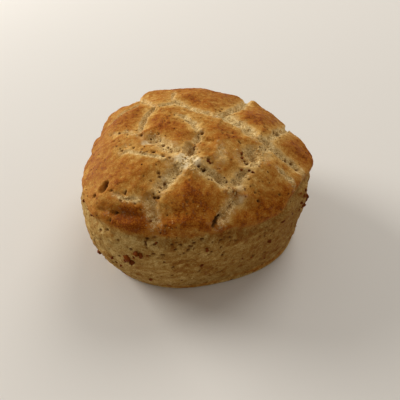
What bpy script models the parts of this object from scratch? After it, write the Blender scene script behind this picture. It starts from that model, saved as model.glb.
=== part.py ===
"""Pork crackling scone: one round of baked dough with crackling crumbs fused to its side.

The dough is one profile turned round: a superellipse crown, a wall that narrows towards the foot, and a
flat foot.  The crown has split into puffed tiles of crust with crumbly cracks between them, so the cracks
are held as routes over the crown and the surface is sunk along them.  A place on the dough is given
unrolled, in millimetres: its distance from the top centre, measured down over the surface, split along
X and Y.
"""

import math

import bmesh
import bpy
import numpy as np
from mathutils import Matrix, Vector

MM = 0.001

# Driving dimensions
WIDEST_RADIUS = 35.0 * MM
WIDEST_HEIGHT = 20.1 * MM
CROWN_HEIGHT = 37.0 * MM
FOOT_RADIUS = 33.1 * MM
FOOT_ROUND = 1.1 * MM
CROWN_SQUARENESS = 2.3

# The outline isn't a true circle: the cosine and sine sizes of its first waves, in millimetres
WIDEST_WAVES = {1: (-0.25, -0.30), 2: (-1.45, 0.40), 3: (1.95, -0.55), 4: (-0.40, -0.90)}
FOOT_WAVES = {2: (-0.25, -0.45), 3: (0.60, -0.70), 4: (-0.25, -0.55)}

# The crust ends in a soft lip, whose height in millimetres changes round the scone (angle in degrees, height)
LIP_HEIGHTS = [
    (0, 26.5), (60, 24), (120, 24.5), (180, 25), (222, 26.4), (240, 26), (256, 26.8), (268, 25.7),
    (282, 24.2), (298, 22.6), (311, 23.2), (318, 25.8), (331, 26.8), (340, 25.6), (350, 24.4),
]
LIP_SWELL = 0.8 * MM
LIP_SWELL_ABOVE = 1.8 * MM
NECK_DEPTH = 0.8 * MM
NECK_BELOW = 1.3 * MM

# The dough spreads a little just above the foot's edge
FLARE = 0.25 * MM
FLARE_HEIGHT = 0.6 * MM
FLARE_REACH = 1.1 * MM

# Cracks between the tiles: half width, depth and route, all in millimetres
CRACKS = {
    "back_left": (0.7, 0.8, [(-21, 30), (-18.6, 21), (-15, 13), (-11.3, 7.7)]),
    "back_arc": (
        0.85, 0.6, [(-11.1, 7.5), (-6.9, 8.2), (-5.3, 9.3), (-3.3, 7.8), (1.7, 3.6), (4.3, 2.7), (6.7, 0.9)],
    ),
    "right_arc": (1.6, 0.9, [(6.8, 1.2), (9.7, 1.4), (12.3, -1.5), (14.8, -4.4), (17.2, -8.2)]),
    "right_arc_end": (
        1.2, 0.9, [(17.2, -8.2), (20, -8.7), (22.2, -11), (25.1, -12.8), (28.6, -14.2), (31, -17)],
    ),
    "back_right": (1.1, 1, [(7.5, 1.8), (11.4, 5.4), (14.4, 9.2), (17, 14), (19.4, 21.5), (20.5, 29)]),
    "back_short": (0.5, 0.4, [(-5.6, 9.8), (-6.2, 14.4), (-6.2, 19)]),
    "left_back": (
        0.6, 1.1, [(-11.4, 7.6), (-13.5, 6), (-15.2, 3.6), (-16.4, 0.8), (-16.7, -2.1), (-15.3, -6.2)],
    ),
    "crumb_band": (
        1.7, 0.9, [(-12.8, -8.4), (-10.7, -9), (-8.3, -9.9), (-6.1, -11.6), (-4.2, -13.7), (-2.7, -16.4)],
    ),
    "left_line": (0.45, 0.45, [(-18.5, -13.2), (-12.7, -14.5), (-9.3, -15.3), (-4.9, -17)]),
    "left_hook": (0.7, 0.25, [(-26.8, -3.6), (-23.2, -4.5), (-20, -5.1), (-16.5, -6.7), (-13.7, -8.2)]),
    "left_hollow": (1.2, 0.4, [(-17.8, -12.9), (-16.7, -11.9), (-15.4, -11.6)]),
    "centre": (2.4, 0.5, [(-3.8, -16.7), (-2, -18), (-0.2, -18.8), (1.5, -20.2)]),
    "centre_back": (0.7, 1, [(2.7, -8.9), (1.7, -9.8), (0.7, -12.3), (0.2, -13.4)]),
    "centre_pit": (1.6, 1.5, [(0.4, -12.6), (-0.2, -13.8), (-1, -15.4), (-1.5, -17.2)]),
    "thin_back": (0.6, 0.6, [(-4.6, 1.5), (-2, -1), (0.1, -3.7), (1.7, -7.5), (2.4, -8.5)]),
    "lower_left": (1.4, 1.1, [(-1.7, -19.4), (-3.6, -20.6), (-5.1, -22.3), (-6.4, -23.9), (-7.4, -26)]),
    "front": (1.2, 0.8, [(-7.6, -26.5), (-8.7, -27.7), (-8.7, -29.9), (-8.1, -32.3), (-8, -35)]),
    "lower_right": (
        1, 1, [(1.3, -20.6), (2.9, -21.8), (4.9, -23.4), (7.1, -24.9), (8.9, -26.5), (10.3, -27.8)],
    ),
    "up_right": (1.1, 1.1, [(10.3, -27.8), (12, -25.3), (13.2, -23.2), (14.3, -21.9), (15.3, -21.3)]),
    "crater": (2.6, 2, [(14.6, -17.2), (15.6, -16.2), (16.8, -15.2), (18.3, -14.9)]),
    "crater_rim": (0.5, 0.1, [(13.6, -18.5), (15, -19.2), (16.4, -19.3), (17.6, -18), (18.6, -16.4)]),
    "crater_back": (1.2, 0.8, [(18, -14.5), (19.7, -11.7), (21.3, -10.3)]),
    "tile_graze": (1, 0.15, [(7.4, -13.4), (8.1, -16.2), (7.6, -18.8), (6.8, -20.6)]),
    "down_right": (1.4, 1.3, [(12.8, -28.2), (12.2, -29.9), (10.5, -32), (8.5, -34), (6.6, -35.8)]),
    "roll_top": (0.4, 0.35, [(-16.6, -24.7), (-15.2, -25.3), (-13.2, -26.3), (-11.6, -26.8), (-9.9, -27.2)]),
    "roll_foot": (
        0.5, 0.45, [(-20.8, -27), (-18.6, -28), (-16.5, -28.8), (-14.6, -29.5), (-12.8, -30.2), (-11, -30.6)],
    ),
    "right_thin": (0.35, 0.5, [(22.3, -17.5), (24.4, -19), (26.4, -20.4), (27.6, -22.4)]),
    "right_back": (0.9, 0.8, [(20, -8.7), (22, -5.9), (24.6, -2.6), (28.2, 1), (32.2, 6), (35.5, 13)]),
    "far_left": (1, 1.2, [(-21.5, 26), (-14, 31), (-5, 32), (4, 31)]),
    "far_right": (0.8, 1, [(4, 31), (12, 29.5), (20.5, 29)]),
    "far_down": (1, 1.1, [(-5, 32), (-6.5, 36), (-5, 41)]),
    "left_far": (0.9, 1, [(-16, 14), (-25, 12), (-32, 9)]),
}
CRACK_STEP = 0.4 * MM
CRACK_END_TAPER = 2.5 * MM
CRACK_END_SHARE = 0.4
CRACK_EDGE = (0.25, 1.60)
SHOULDER_REACH = 4.0 * MM
SHOULDER_SINK = 1.0 * MM
CRUMBLE = 0.28 * MM

# Rolls of dough that stand proud of the crust by the near edge: half width, height and route
RIDGES = {
    "upper_roll": (
        1.9, 0.7,
        [(-21.2, -24.3), (-20.2, -24.9), (-17.5, -26.3),
         (-15, -27.4), (-12.7, -28.5), (-10, -28.8)],
    ),
    "lower_roll": (
        1.8, 0.6, [(-23, -27.6), (-21.7, -28.5), (-19.3, -29.9), (-17, -31.1), (-15, -32), (-11.5, -32.5)],
    ),
}

# Puffed and sunken places on the crown: route point, reach and lift, in millimetres
SWELLS = [
    ((-19, -24), 5.0, 0.5),
    ((-13.5, 23.5), 5.0, 0.8),
    ((-15.6, 21.5), 2.4, 0.8),
    ((21.3, 19.5), 2.5, 1.7),
    ((-21.5, 19.5), 3.0, -0.8),
    ((31.5, 6.5), 3.0, -0.8),
    ((37.2, -8), 3.2, 0.5),
    ((39, -15), 3.0, -1.5),
    ((-34.5, 7.5), 3.0, -1.0),
    ((-35.6, -6.5), 2.5, -0.5),
    ((-31.7, -26.6), 3.0, -0.6),
    ((15.5, 23), 2.5, 0.6),
    ((-32, -36), 6.0, 0.7),
    ((40.5, -18.5), 3.0, 0.8),
]

# Burst bubbles in the crust: place, radius and depth, in millimetres
PITS = [
    ((-19, -22.2), 0.95, 1.5),
    ((-19.25, -22.9), 1.1, 1.4),
    ((-19.5, -23.6), 1.1, 1.2),
    ((-21.7, -24.5), 0.55, 0.7),
    ((7.2, -34), 0.55, 1.1),
    ((6.6, -34.7), 0.75, 1.4),
    ((6, -35.4), 0.8, 1.5),
    ((5.6, -36.1), 0.7, 1.2),
    ((-0.4, -14.3), 1.3, 0.5),
    ((3.1, -21.4), 0.6, 1.1),
    ((2.8, -8.5), 0.6, 0.8),
    ((23.5, -2.7), 0.6, 0.8),
    ((25.1, -2.4), 0.7, 0.9),
    ((-7.3, -27), 0.55, 0.9),
]

# Unevenness: wavelength and size in millimetres, on the crown, on the wall and along the lip, and for each
# layer of the cracks' wandering with its own draw
CROWN_LUMPS = [(9.0, 0.45), (3.6, 0.16)]
WALL_LUMPS = [(9.0, 0.45), (4.0, 0.30)]
LIP_WANDER = (7.0, 1.0)
CRACK_WANDER = [(0, 2.6, 0.5), (60, 0.9, 0.22)]

# Crackling crumbs on the wall: (angle in degrees, height and size in millimetres)
SHOWN_CRUMBS = [
    (251, 21.6, 1.6), (252.5, 21.2, 1.3), (247, 19, 1.9), (248.4, 17.6, 1.6), (246, 17.6, 1.1),
    (257, 24, 1.1), (254.5, 21, 0.9), (274, 13.6, 1.5), (250, 20.2, 0.9), (230, 12.6, 1.3),
    (240, 16.4, 0.8), (241, 14.6, 0.8), (243, 14.4, 0.8), (308, 13.5, 1.5), (321, 19.1, 0.9),
    (314, 19.5, 1.1), (327, 23.8, 1.1), (330, 22, 1.5), (334, 20, 1.8), (332, 17.6, 1.8),
    (333, 16.2, 1.2), (331, 23.6, 0.9), (329, 19.8, 1.1), (270, 22.1, 0.8), (335, 18.2, 1.5),
]
# Crackling crumbs on the crown: (unrolled place and size in millimetres)
CROWN_CRUMBS = [
    (4, -19.3, 0.9), (16.4, -21.7, 1.1), (-24.4, -28.2, 0.9), (-30.9, -23.6, 0.9), (-36, -24.3, 0.9),
    (13.4, -15.6, 0.9), (13.5, -17, 1), (14.1, -18.2, 0.9), (-35.8, -7.3, 1),
]
CRUMB_PROUD = (-0.1, 0.12)
FAR_CRUMB_COUNT = 13
FAR_CRUMB_ANGLES = (-10, 215)
FAR_CRUMB_HEIGHTS = (6, 24)
FAR_CRUMB_SIZES = (0.9, 2.0)

RINGS = 84
WALL_ROWS = 34
DOUGH_TRIANGLES = 9850
FOOT_SNAP = 0.06 * MM
SEED = 41

CRUST_COLOUR = (0.47, 0.25, 0.10, 1.0)
CRUST_ROUGHNESS = 0.75


def smooth_step(low, high, value):
    """0 below low, 1 above high and a smooth ramp between them."""
    share = np.clip((value - low) / (high - low), 0.0, 1.0)
    return share * share * (3.0 - 2.0 * share)


def lumps(points, wavelength, seed):
    """Smooth seeded noise between -1 and 1: random values on a cubic lattice, blended between its corners."""
    size = 32
    values = np.random.RandomState(seed).uniform(-1.0, 1.0, (size, size, size))
    place = points / wavelength + size
    corner = np.floor(place).astype(int)
    share = place - corner
    share = share * share * (3.0 - 2.0 * share)
    total = np.zeros(len(points))
    for dx in (0, 1):
        for dy in (0, 1):
            for dz in (0, 1):
                step = np.array((dx, dy, dz))
                weight = np.prod(np.where(step == 1, share, 1.0 - share), axis=1)
                index = (corner + step) % size
                total += weight * values[index[:, 0], index[:, 1], index[:, 2]]
    return total


def meridian():
    """The mean profile from the top centre to the edge of the foot: arc length, radius and height."""
    power = 2.0 / CROWN_SQUARENESS
    turn = np.linspace(0.0, math.pi / 2, 400)
    crown_r = WIDEST_RADIUS * np.sin(turn) ** power
    crown_z = WIDEST_HEIGHT + (CROWN_HEIGHT - WIDEST_HEIGHT) * np.maximum(np.cos(turn), 0.0) ** power
    down = np.linspace(1.0, 0.0, 120)[1:]
    wall_r = FOOT_RADIUS + (WIDEST_RADIUS - FOOT_RADIUS) * np.sin(down * math.pi / 2)
    wall_z = FOOT_ROUND + (WIDEST_HEIGHT - FOOT_ROUND) * down
    curl = np.linspace(0.0, math.pi / 2, 12)[1:]
    foot_r = FOOT_RADIUS - FOOT_ROUND * (1.0 - np.cos(curl))
    foot_z = FOOT_ROUND * (1.0 - np.sin(curl))
    radius = np.concatenate((crown_r, wall_r, foot_r))
    height = np.concatenate((crown_z, wall_z, foot_z))
    arc = np.concatenate(([0.0], np.cumsum(np.hypot(np.diff(radius), np.diff(height)))))
    return arc, radius, height


ARC, RADIUS, HEIGHT = meridian()
WIDEST_ARC = ARC[399]


def arc_at(height):
    """Arc length at which the profile passes a height in metres."""
    return np.interp(-height, -HEIGHT, ARC)


def outline_wave(waves, angle):
    """The outline's departure from a circle at an angle, in metres."""
    total = np.zeros_like(angle)
    for order, (cosine, sine) in waves.items():
        total += (cosine * np.cos(order * angle) + sine * np.sin(order * angle)) * MM
    return total


def plain_surface(arc, angle):
    """Points of the dough before any relief, at arc lengths from the top centre and angles round it."""
    radius = np.interp(arc, ARC, RADIUS)
    height = np.interp(arc, ARC, HEIGHT)
    rise = np.sin(np.clip(height / WIDEST_HEIGHT, 0.0, 1.0) * math.pi / 2)
    on_crown = arc <= WIDEST_ARC
    radius = radius + outline_wave(WIDEST_WAVES, angle) * np.where(on_crown, radius / WIDEST_RADIUS, rise)
    radius = radius + outline_wave(FOOT_WAVES, angle) * np.where(on_crown, 0.0, 1.0 - rise)
    return np.stack((radius * np.cos(angle), radius * np.sin(angle), height), axis=1)


def outward(arc, angle):
    """Unit normals of the mean profile at the same places."""
    slope_r = np.interp(arc, ARC, np.gradient(RADIUS, ARC))
    slope_z = np.interp(arc, ARC, np.gradient(HEIGHT, ARC))
    length = np.hypot(slope_r, slope_z)
    out = -slope_z / length
    return np.stack((out * np.cos(angle), out * np.sin(angle), slope_r / length), axis=1)


def unrolled(places):
    """Points on the plain dough at unrolled places in millimetres."""
    places = np.asarray(places, float) * MM
    return plain_surface(np.hypot(places[:, 0], places[:, 1]), np.arctan2(places[:, 1], places[:, 0]))


def curve_through(points, per_span=12):
    """A Catmull-Rom curve through the points, sampled per_span times between each two."""
    points = np.asarray(points, float)
    padded = np.vstack((2 * points[0] - points[1], points, 2 * points[-1] - points[-2]))
    t = np.linspace(0.0, 1.0, per_span, endpoint=False)[:, None]
    spans = []
    for a, b, c, d in zip(padded[:-3], padded[1:-2], padded[2:-1], padded[3:]):
        cubic = (3 * b - a - 3 * c + d) * t**3 + (2 * a - 5 * b + 4 * c - d) * t**2
        spans.append(0.5 * (2 * b + (c - a) * t + cubic))
    return np.vstack(spans + [points[-1:]])


def crack_route(route):
    """The crack's line on the plain dough in even steps, and the share of its depth at each step."""
    line = unrolled(curve_through(route))
    along = np.concatenate(([0.0], np.cumsum(np.linalg.norm(np.diff(line, axis=0), axis=1))))
    steps = np.linspace(0.0, along[-1], max(2, round(along[-1] / CRACK_STEP)))
    line = np.stack([np.interp(steps, along, line[:, axis]) for axis in range(3)], axis=1)
    from_end = np.minimum(steps, along[-1] - steps)
    return line, CRACK_END_SHARE + (1 - CRACK_END_SHARE) * smooth_step(0.0, CRACK_END_TAPER, from_end)


def nearest_on(points, line, strength):
    """Distance from each point to the nearest point of a line, and the line's strength there."""
    gaps = np.linalg.norm(points[:, None, :] - line[None, :, :], axis=2)
    nearest = gaps.argmin(axis=1)
    return gaps[np.arange(len(gaps)), nearest], strength[nearest]


def crack_relief(points):
    """How deep the cracks sink the surface at each point, and how much of each point is crack floor."""
    moved = points.copy()
    for seed, wavelength, wander in CRACK_WANDER:
        for axis in range(3):
            moved[:, axis] += lumps(points, wavelength * MM, SEED + seed + axis) * wander * MM
    sink = np.zeros(len(points))
    floor = np.zeros(len(points))
    for half_width, depth, route in CRACKS.values():
        line, strength = crack_route(route)
        half_width = half_width * MM
        reach = half_width + 2.5 * SHOULDER_REACH
        near = np.all((moved > line.min(0) - reach) & (moved < line.max(0) + reach), axis=1)
        distance, share = nearest_on(moved[near], line, strength)
        inside = 1.0 - smooth_step(CRACK_EDGE[0] * half_width, CRACK_EDGE[1] * half_width, distance)
        shoulder = np.exp(-((np.maximum(distance - half_width, 0.0) / SHOULDER_REACH) ** 2))
        crack = share * (depth * MM * inside + SHOULDER_SINK * shoulder * min(1.0, depth))
        sink[near] = np.maximum(sink[near], crack)
        floor[near] = np.maximum(floor[near], inside * share)
    return sink, floor


def ridge_relief(points):
    """How far the rolls of dough raise each point."""
    rise = np.zeros(len(points))
    for half_width, height, route in RIDGES.values():
        line, strength = crack_route(route)
        reach = 3 * half_width * MM
        near = np.all((points > line.min(0) - reach) & (points < line.max(0) + reach), axis=1)
        distance, share = nearest_on(points[near], line, strength)
        rise[near] = np.maximum(rise[near], share * height * MM * bump(distance, 0.8 * half_width * MM))
    return rise


def lip_arc(points, angle):
    """Arc length at which the crust ends, which wanders round the scone."""
    turns, heights = np.array(LIP_HEIGHTS, float).T
    height = np.interp(np.degrees(angle) % 360.0, turns, heights, period=360.0) * MM
    wavelength, wander = LIP_WANDER
    height = height + lumps(points, wavelength * MM, SEED + 5) * wander * MM
    return arc_at(height)


def bump(distance, reach):
    """A bell of height 1 that falls to nothing about 2 reaches away."""
    return np.exp(-((distance / reach) ** 2))


def relief(arc, angle, points):
    """How far each point of the plain dough moves along its normal."""
    below_lip = arc - lip_arc(points, angle)
    on_wall = smooth_step(-1.0 * MM, 2.0 * MM, below_lip)
    move = LIP_SWELL * bump(below_lip + LIP_SWELL_ABOVE, LIP_SWELL_ABOVE)
    move -= NECK_DEPTH * bump(below_lip - NECK_BELOW, NECK_BELOW)
    for seed, (wavelength, size) in enumerate(CROWN_LUMPS, start=SEED + 10):
        move += lumps(points, wavelength * MM, seed) * size * MM * (1.0 - on_wall)
    for seed, (wavelength, size) in enumerate(WALL_LUMPS, start=SEED + 20):
        move += lumps(points, wavelength * MM, seed) * size * MM * on_wall
    move += ridge_relief(points)
    for place, reach, lift in SWELLS:
        move += lift * MM * bump(np.linalg.norm(points - unrolled([place]), axis=1), reach * MM)
    sink, floor = crack_relief(points)
    sink = sink * (1.0 - smooth_step(0.0, 3.0 * MM, below_lip))
    crumble = lumps(points, 1.5 * MM, SEED + 30) * CRUMBLE * floor
    pitted = np.zeros(len(points))
    for place, radius, depth in PITS:
        distance = np.linalg.norm(points - unrolled([place]), axis=1)
        cup = 1.0 - smooth_step(0.3 * radius * MM, 1.2 * radius * MM, distance)
        pitted = np.maximum(pitted, depth * MM * cup)
    near_foot = smooth_step(0.0, 2.5 * MM, points[:, 2])
    flare = FLARE * bump(points[:, 2] - FLARE_HEIGHT, FLARE_REACH)
    return (move - sink + crumble - pitted) * near_foot + flare


def ring_start(ring):
    """Index of a ring's first point, where ring k has 6 k points round the top centre."""
    return 0 if ring == 0 else 1 + 3 * ring * (ring - 1)


def ring_triangles(ring):
    """Triangles between a ring and the one inside it, six sectors of edges on each, faces up."""
    outer = 6 * ring
    inner = 6 * (ring - 1)
    place = np.arange(outer)
    sector, step = place // ring, place % ring
    apex = ring_start(ring - 1) + ((sector * (ring - 1) + step) % inner if inner else 0 * place)
    first = ring_start(ring)
    wide = np.stack((first + place, first + (place + 1) % outer, apex), axis=1)
    if not inner:
        return wide
    place = np.arange(inner)
    sector, step = place // (ring - 1), place % (ring - 1)
    start = ring_start(ring - 1)
    apex = first + (sector * ring + step + 1) % outer
    return np.vstack((wide, np.stack((start + (place + 1) % inner, start + place, apex), axis=1)))


def dough_arrays():
    """Points and triangles of the whole dough: the crown's rings, the wall's rows and a fan under it."""
    around = 6 * RINGS
    rings = np.concatenate([np.full(max(1, 6 * ring), ring) for ring in range(RINGS + 1)])
    steps = np.concatenate([np.arange(max(1, 6 * ring)) for ring in range(RINGS + 1)])
    crown_arc = WIDEST_ARC * rings / RINGS
    crown_angle = 2 * math.pi * steps / np.maximum(6 * rings, 1)
    rows = np.linspace(WIDEST_ARC, ARC[-1], WALL_ROWS + 1)[1:]
    arc = np.concatenate((crown_arc, np.repeat(rows, around)))
    angle = np.concatenate((crown_angle, np.tile(2 * math.pi * np.arange(around) / around, WALL_ROWS)))
    points = plain_surface(arc, angle)
    points = points + outward(arc, angle) * relief(arc, angle, points)[:, None]
    points[:, 2] = np.maximum(points[:, 2], 0.0)
    points = np.vstack((points, (0.0, 0.0, 0.0)))
    faces = [ring_triangles(ring) for ring in range(1, RINGS + 1)]
    here = np.arange(around)
    beside = (here + 1) % around
    for row in range(WALL_ROWS):
        upper = ring_start(RINGS) + row * around
        lower = upper + around
        faces.append(np.stack((lower + here, lower + beside, upper + beside), axis=1))
        faces.append(np.stack((lower + here, upper + beside, upper + here), axis=1))
    last = ring_start(RINGS) + WALL_ROWS * around
    faces.append(np.stack((last + beside, last + here, np.full(around, len(points) - 1)), axis=1))
    return points, np.vstack(faces)


def apply_modifiers(thing):
    """Turns an object's modifiers into its own mesh."""
    evaluated = thing.evaluated_get(bpy.context.evaluated_depsgraph_get())
    mesh = bpy.data.meshes.new_from_object(evaluated)
    thing.modifiers.clear()
    thing.data = mesh


def make_dough(name):
    """The dough as one closed mesh, thinned where it is smooth, with its foot set flat."""
    points, faces = dough_arrays()
    mesh = bpy.data.meshes.new(name)
    mesh.from_pydata(points.tolist(), [], faces.tolist())
    dough = bpy.data.objects.new(name, mesh)
    bpy.context.scene.collection.objects.link(dough)
    thin = dough.modifiers.new("thin", "DECIMATE")
    thin.ratio = DOUGH_TRIANGLES / len(faces)
    apply_modifiers(dough)
    for vertex in dough.data.vertices:
        if vertex.co.z < FOOT_SNAP:
            vertex.co.z = 0.0
    return dough


def crumb_places():
    """Arc length, angle and size of every crumb: the shown ones, then seeded ones round the far side."""
    places = [(arc_at(height * MM), math.radians(turn), size * MM) for turn, height, size in SHOWN_CRUMBS]
    places += [(math.hypot(x, y) * MM, math.atan2(y, x), size * MM) for x, y, size in CROWN_CRUMBS]
    random = np.random.RandomState(SEED)
    low, high = FAR_CRUMB_ANGLES
    for step in range(FAR_CRUMB_COUNT):
        turn = low + (high - low) * (step + random.uniform(0.1, 0.9)) / FAR_CRUMB_COUNT
        height = random.uniform(*FAR_CRUMB_HEIGHTS)
        size = random.uniform(*FAR_CRUMB_SIZES)
        places.append((arc_at(height * MM), math.radians(turn), size * MM))
    return places


def make_crumb(centre, size, random):
    """One rough crumb: a small icosphere with its corners pushed about, stretched along a random way."""
    shape = bmesh.new()
    bmesh.ops.create_icosphere(shape, subdivisions=1, radius=size / 2)
    stretch = Vector(random.uniform(0.8, 1.3, 3))
    axis = Vector(random.uniform(-1, 1, 3)).normalized()
    spin = Matrix.Rotation(random.uniform(0, 2 * math.pi), 3, axis)
    for vertex in shape.verts:
        vertex.co = spin @ (vertex.co * stretch) * random.uniform(0.92, 1.08) + Vector(centre)
    mesh = bpy.data.meshes.new("crumb")
    shape.to_mesh(mesh)
    shape.free()
    return bpy.data.objects.new("crumb", mesh)


def fuse_crumbs(dough):
    """Joins every crumb to the dough with one union, each sunk into the wall by part of its size."""
    crumbs = bpy.data.collections.new("crumbs")
    bpy.context.scene.collection.children.link(crumbs)
    random = np.random.RandomState(SEED + 1)
    for arc, turn, size in crumb_places():
        place = np.array([arc]), np.array([turn])
        point = plain_surface(*place)
        moved = relief(*place, point)[0]
        centre = point[0] + outward(*place)[0] * (moved + size * random.uniform(*CRUMB_PROUD))
        crumbs.objects.link(make_crumb(centre, size, random))
    union = dough.modifiers.new("fuse", "BOOLEAN")
    union.operation = "UNION"
    union.operand_type = "COLLECTION"
    union.collection = crumbs
    union.solver = "EXACT"
    apply_modifiers(dough)
    for crumb in list(crumbs.objects):
        bpy.data.objects.remove(crumb)
    bpy.data.collections.remove(crumbs)


def crust_material():
    """Browned crust, matt."""
    material = bpy.data.materials.new("crust")
    material.use_nodes = True
    shader = material.node_tree.nodes["Principled BSDF"]
    shader.inputs["Base Color"].default_value = CRUST_COLOUR
    shader.inputs["Roughness"].default_value = CRUST_ROUGHNESS
    shader.inputs["Metallic"].default_value = 0.0
    return material


def main():
    """Clears the scene and builds the scone."""
    for old in list(bpy.data.objects):
        bpy.data.objects.remove(old)
    scone = make_dough("scone")
    fuse_crumbs(scone)
    scone.data.materials.clear()
    scone.data.materials.append(crust_material())
    scone.data.shade_smooth()


main()
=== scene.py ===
"""Looks of a pork crackling scone: cracked golden crust, pale crumb in the cracks, crackling on the wall.

The dough is one fine surface worked out from the same named sizes as the solid: a profile turned round,
with cracks, swells, a lip and burst bubbles pushed into it along its normals.  Crackling, crumbs and dark
specks lie on it.  Places on the crown are unrolled: millimetres from the top centre, measured down over the
surface, along X and Y.  Places on the wall are an angle in degrees and a height in millimetres.
Each random draw has its own number, which is added to SEED.
"""

import logging
import math
from dataclasses import dataclass, field
from enum import Enum

import bmesh
import bpy
import numpy as np
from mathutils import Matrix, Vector


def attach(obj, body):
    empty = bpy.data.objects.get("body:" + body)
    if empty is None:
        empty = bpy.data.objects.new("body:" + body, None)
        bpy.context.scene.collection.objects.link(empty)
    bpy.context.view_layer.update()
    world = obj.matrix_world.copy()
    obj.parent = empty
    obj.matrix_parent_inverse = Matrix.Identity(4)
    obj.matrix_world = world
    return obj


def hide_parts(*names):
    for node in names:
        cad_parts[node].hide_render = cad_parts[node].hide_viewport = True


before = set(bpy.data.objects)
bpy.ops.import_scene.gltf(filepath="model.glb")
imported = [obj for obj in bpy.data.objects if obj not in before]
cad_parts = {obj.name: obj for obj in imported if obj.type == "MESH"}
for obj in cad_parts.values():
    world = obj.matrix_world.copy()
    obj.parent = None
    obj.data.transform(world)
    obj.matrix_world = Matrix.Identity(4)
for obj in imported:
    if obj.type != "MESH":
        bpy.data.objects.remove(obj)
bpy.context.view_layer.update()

LOG = logging.getLogger("scone")
MM = 0.001
SEED = 41
NODE = "scone"
BODY = "root"
TONE = "tone"

Array = np.ndarray
Place = tuple[float, float]
Span = tuple[float, float]
Socket = bpy.types.NodeSocket

# Cells after which noise and pores repeat, and how far across its cell a pore's middle may lie
LATTICE = 32
PORE_PLAY = (0.2, 0.8)

# Radius of a pore that isn't there
NO_PORE = 1e-9


class Mask(Enum):
    """Values that the dough carries at each point, which its finish reads by these names."""

    CRUMB = "crumb"
    FLOUR = "flour"
    TOAST = "toast"
    # Painted shade inside holes, pores and torn crack bottoms
    PIT = "pit"
    WALL = "wall"
    FLECK = "fleck"


class Strewn(Enum):
    """Where fine bits lie: along the cracks, anywhere on the crust, or in the small holes and wall pits."""

    CRACKS = "cracks"
    CRUST = "crust"
    HOLES = "holes"


# --------------------------------------------------------------------------------------------------
# Numbers over arrays of points


def smooth_step(low: float | Array, high: float | Array, value: Array) -> Array:
    """Ramp between two levels: 3 t^2 - 2 t^3 of the clipped share t.

    Args:
        low: value at and below which the ramp is 0.
        high: value at and above which it is 1.
        value: what is ramped.

    Returns:
        The ramp, from 0 to 1.
    """
    share = np.clip((value - low) / (high - low), 0.0, 1.0)
    return share * share * (3.0 - 2.0 * share)


def bell(distance: Array, reach: float) -> Array:
    """exp(-(distance / reach)^2), a bell of height 1."""
    return np.exp(-((distance / reach) ** 2))


def lumps(points: Array, wavelength: float, draw: int) -> Array:
    """Smooth noise: random values on a cubic lattice, blended between the 8 corners round each point.

    Args:
        points: N by 3, in metres.
        wavelength: lattice step in metres.
        draw: number of the random draw.

    Returns:
        N values between -1 and 1.
    """
    values = np.random.RandomState(SEED + draw).uniform(-1.0, 1.0, (LATTICE, LATTICE, LATTICE))
    place = points / wavelength + LATTICE
    corner = np.floor(place).astype(int)
    share = place - corner
    share = share * share * (3.0 - 2.0 * share)
    total = np.zeros(len(points))
    for step in np.ndindex(2, 2, 2):
        weight = np.prod(np.where(np.array(step) == 1, share, 1.0 - share), axis=1)
        total += weight * values[tuple(((corner + step) % LATTICE).T)]
    return total


def noise(points: Array, layers: tuple, unit: float = MM) -> Array:
    """Sum of layers of smooth noise.

    Args:
        points: N by 3, in metres.
        layers: random draw, wavelength in millimetres and size of each layer.
        unit: what a size of 1 stands for.

    Returns:
        N sums.
    """
    total = np.zeros(len(points))
    for draw, wavelength, size in layers:
        total += lumps(points, wavelength * MM, draw) * size * unit
    return total


def shifted(points: Array, layers: tuple) -> Array:
    """Points moved by noise on each axis, which makes lines wander and edges ragged.

    Args:
        points: N by 3, in metres.
        layers: first random draw, wavelength and size in millimetres of each layer.

    Returns:
        The moved points.
    """
    moved = points.copy()
    for draw, wavelength, size in layers:
        for axis in range(3):
            moved[:, axis] += noise(points, ((draw + axis, wavelength, size),))
    return moved


def pores(points: Array, spacing: float, radii: Span, share: float, draw: int) -> Array:
    """Round dimples strewn through space: a lattice cell holds one ball at most, which dimples its points.

    The dimple of a ball of radius r is 1 - (d / r)^2 at distance d from its middle.

    Args:
        points: N by 3, in metres.
        spacing: size of a lattice cell in millimetres.
        radii: smallest and largest radius in millimetres.
        share: share of the cells that hold a ball.
        draw: number of the random draw.

    Returns:
        N values from 0, outside every ball, to 1 at a ball's middle.
    """
    size = (LATTICE, LATTICE, LATTICE)
    random = np.random.RandomState(SEED + draw)
    middle = random.uniform(*PORE_PLAY, (*size, 3))
    radius = random.uniform(*np.array(radii) * MM, size) * (random.uniform(size=size) < share)
    cell = np.floor(points / (spacing * MM)).astype(int)
    deepest = np.zeros(len(points))
    for step in np.ndindex(3, 3, 3):
        there = cell + np.array(step) - 1
        index = tuple((there % LATTICE).T)
        gap = np.linalg.norm(points - (there + middle[index]) * (spacing * MM), axis=1)
        deepest = np.maximum(deepest, 1.0 - (gap / np.maximum(radius[index], NO_PORE)) ** 2)
    return deepest


def hollow(points: Array, middle: Array, section: Span) -> Array:
    """A round hole's ramp down from its rim to its floor, from 0 outside to 1 on the floor."""
    return 1.0 - smooth_step(*section, np.linalg.norm(points - middle, axis=1))


def polar(places: Array | tuple[Place, ...]) -> tuple[Array, Array]:
    """Arc lengths in metres and angles of unrolled places in millimetres."""
    across, along = np.asarray(places, float).T
    return np.hypot(across, along) * MM, np.arctan2(along, across)


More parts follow.
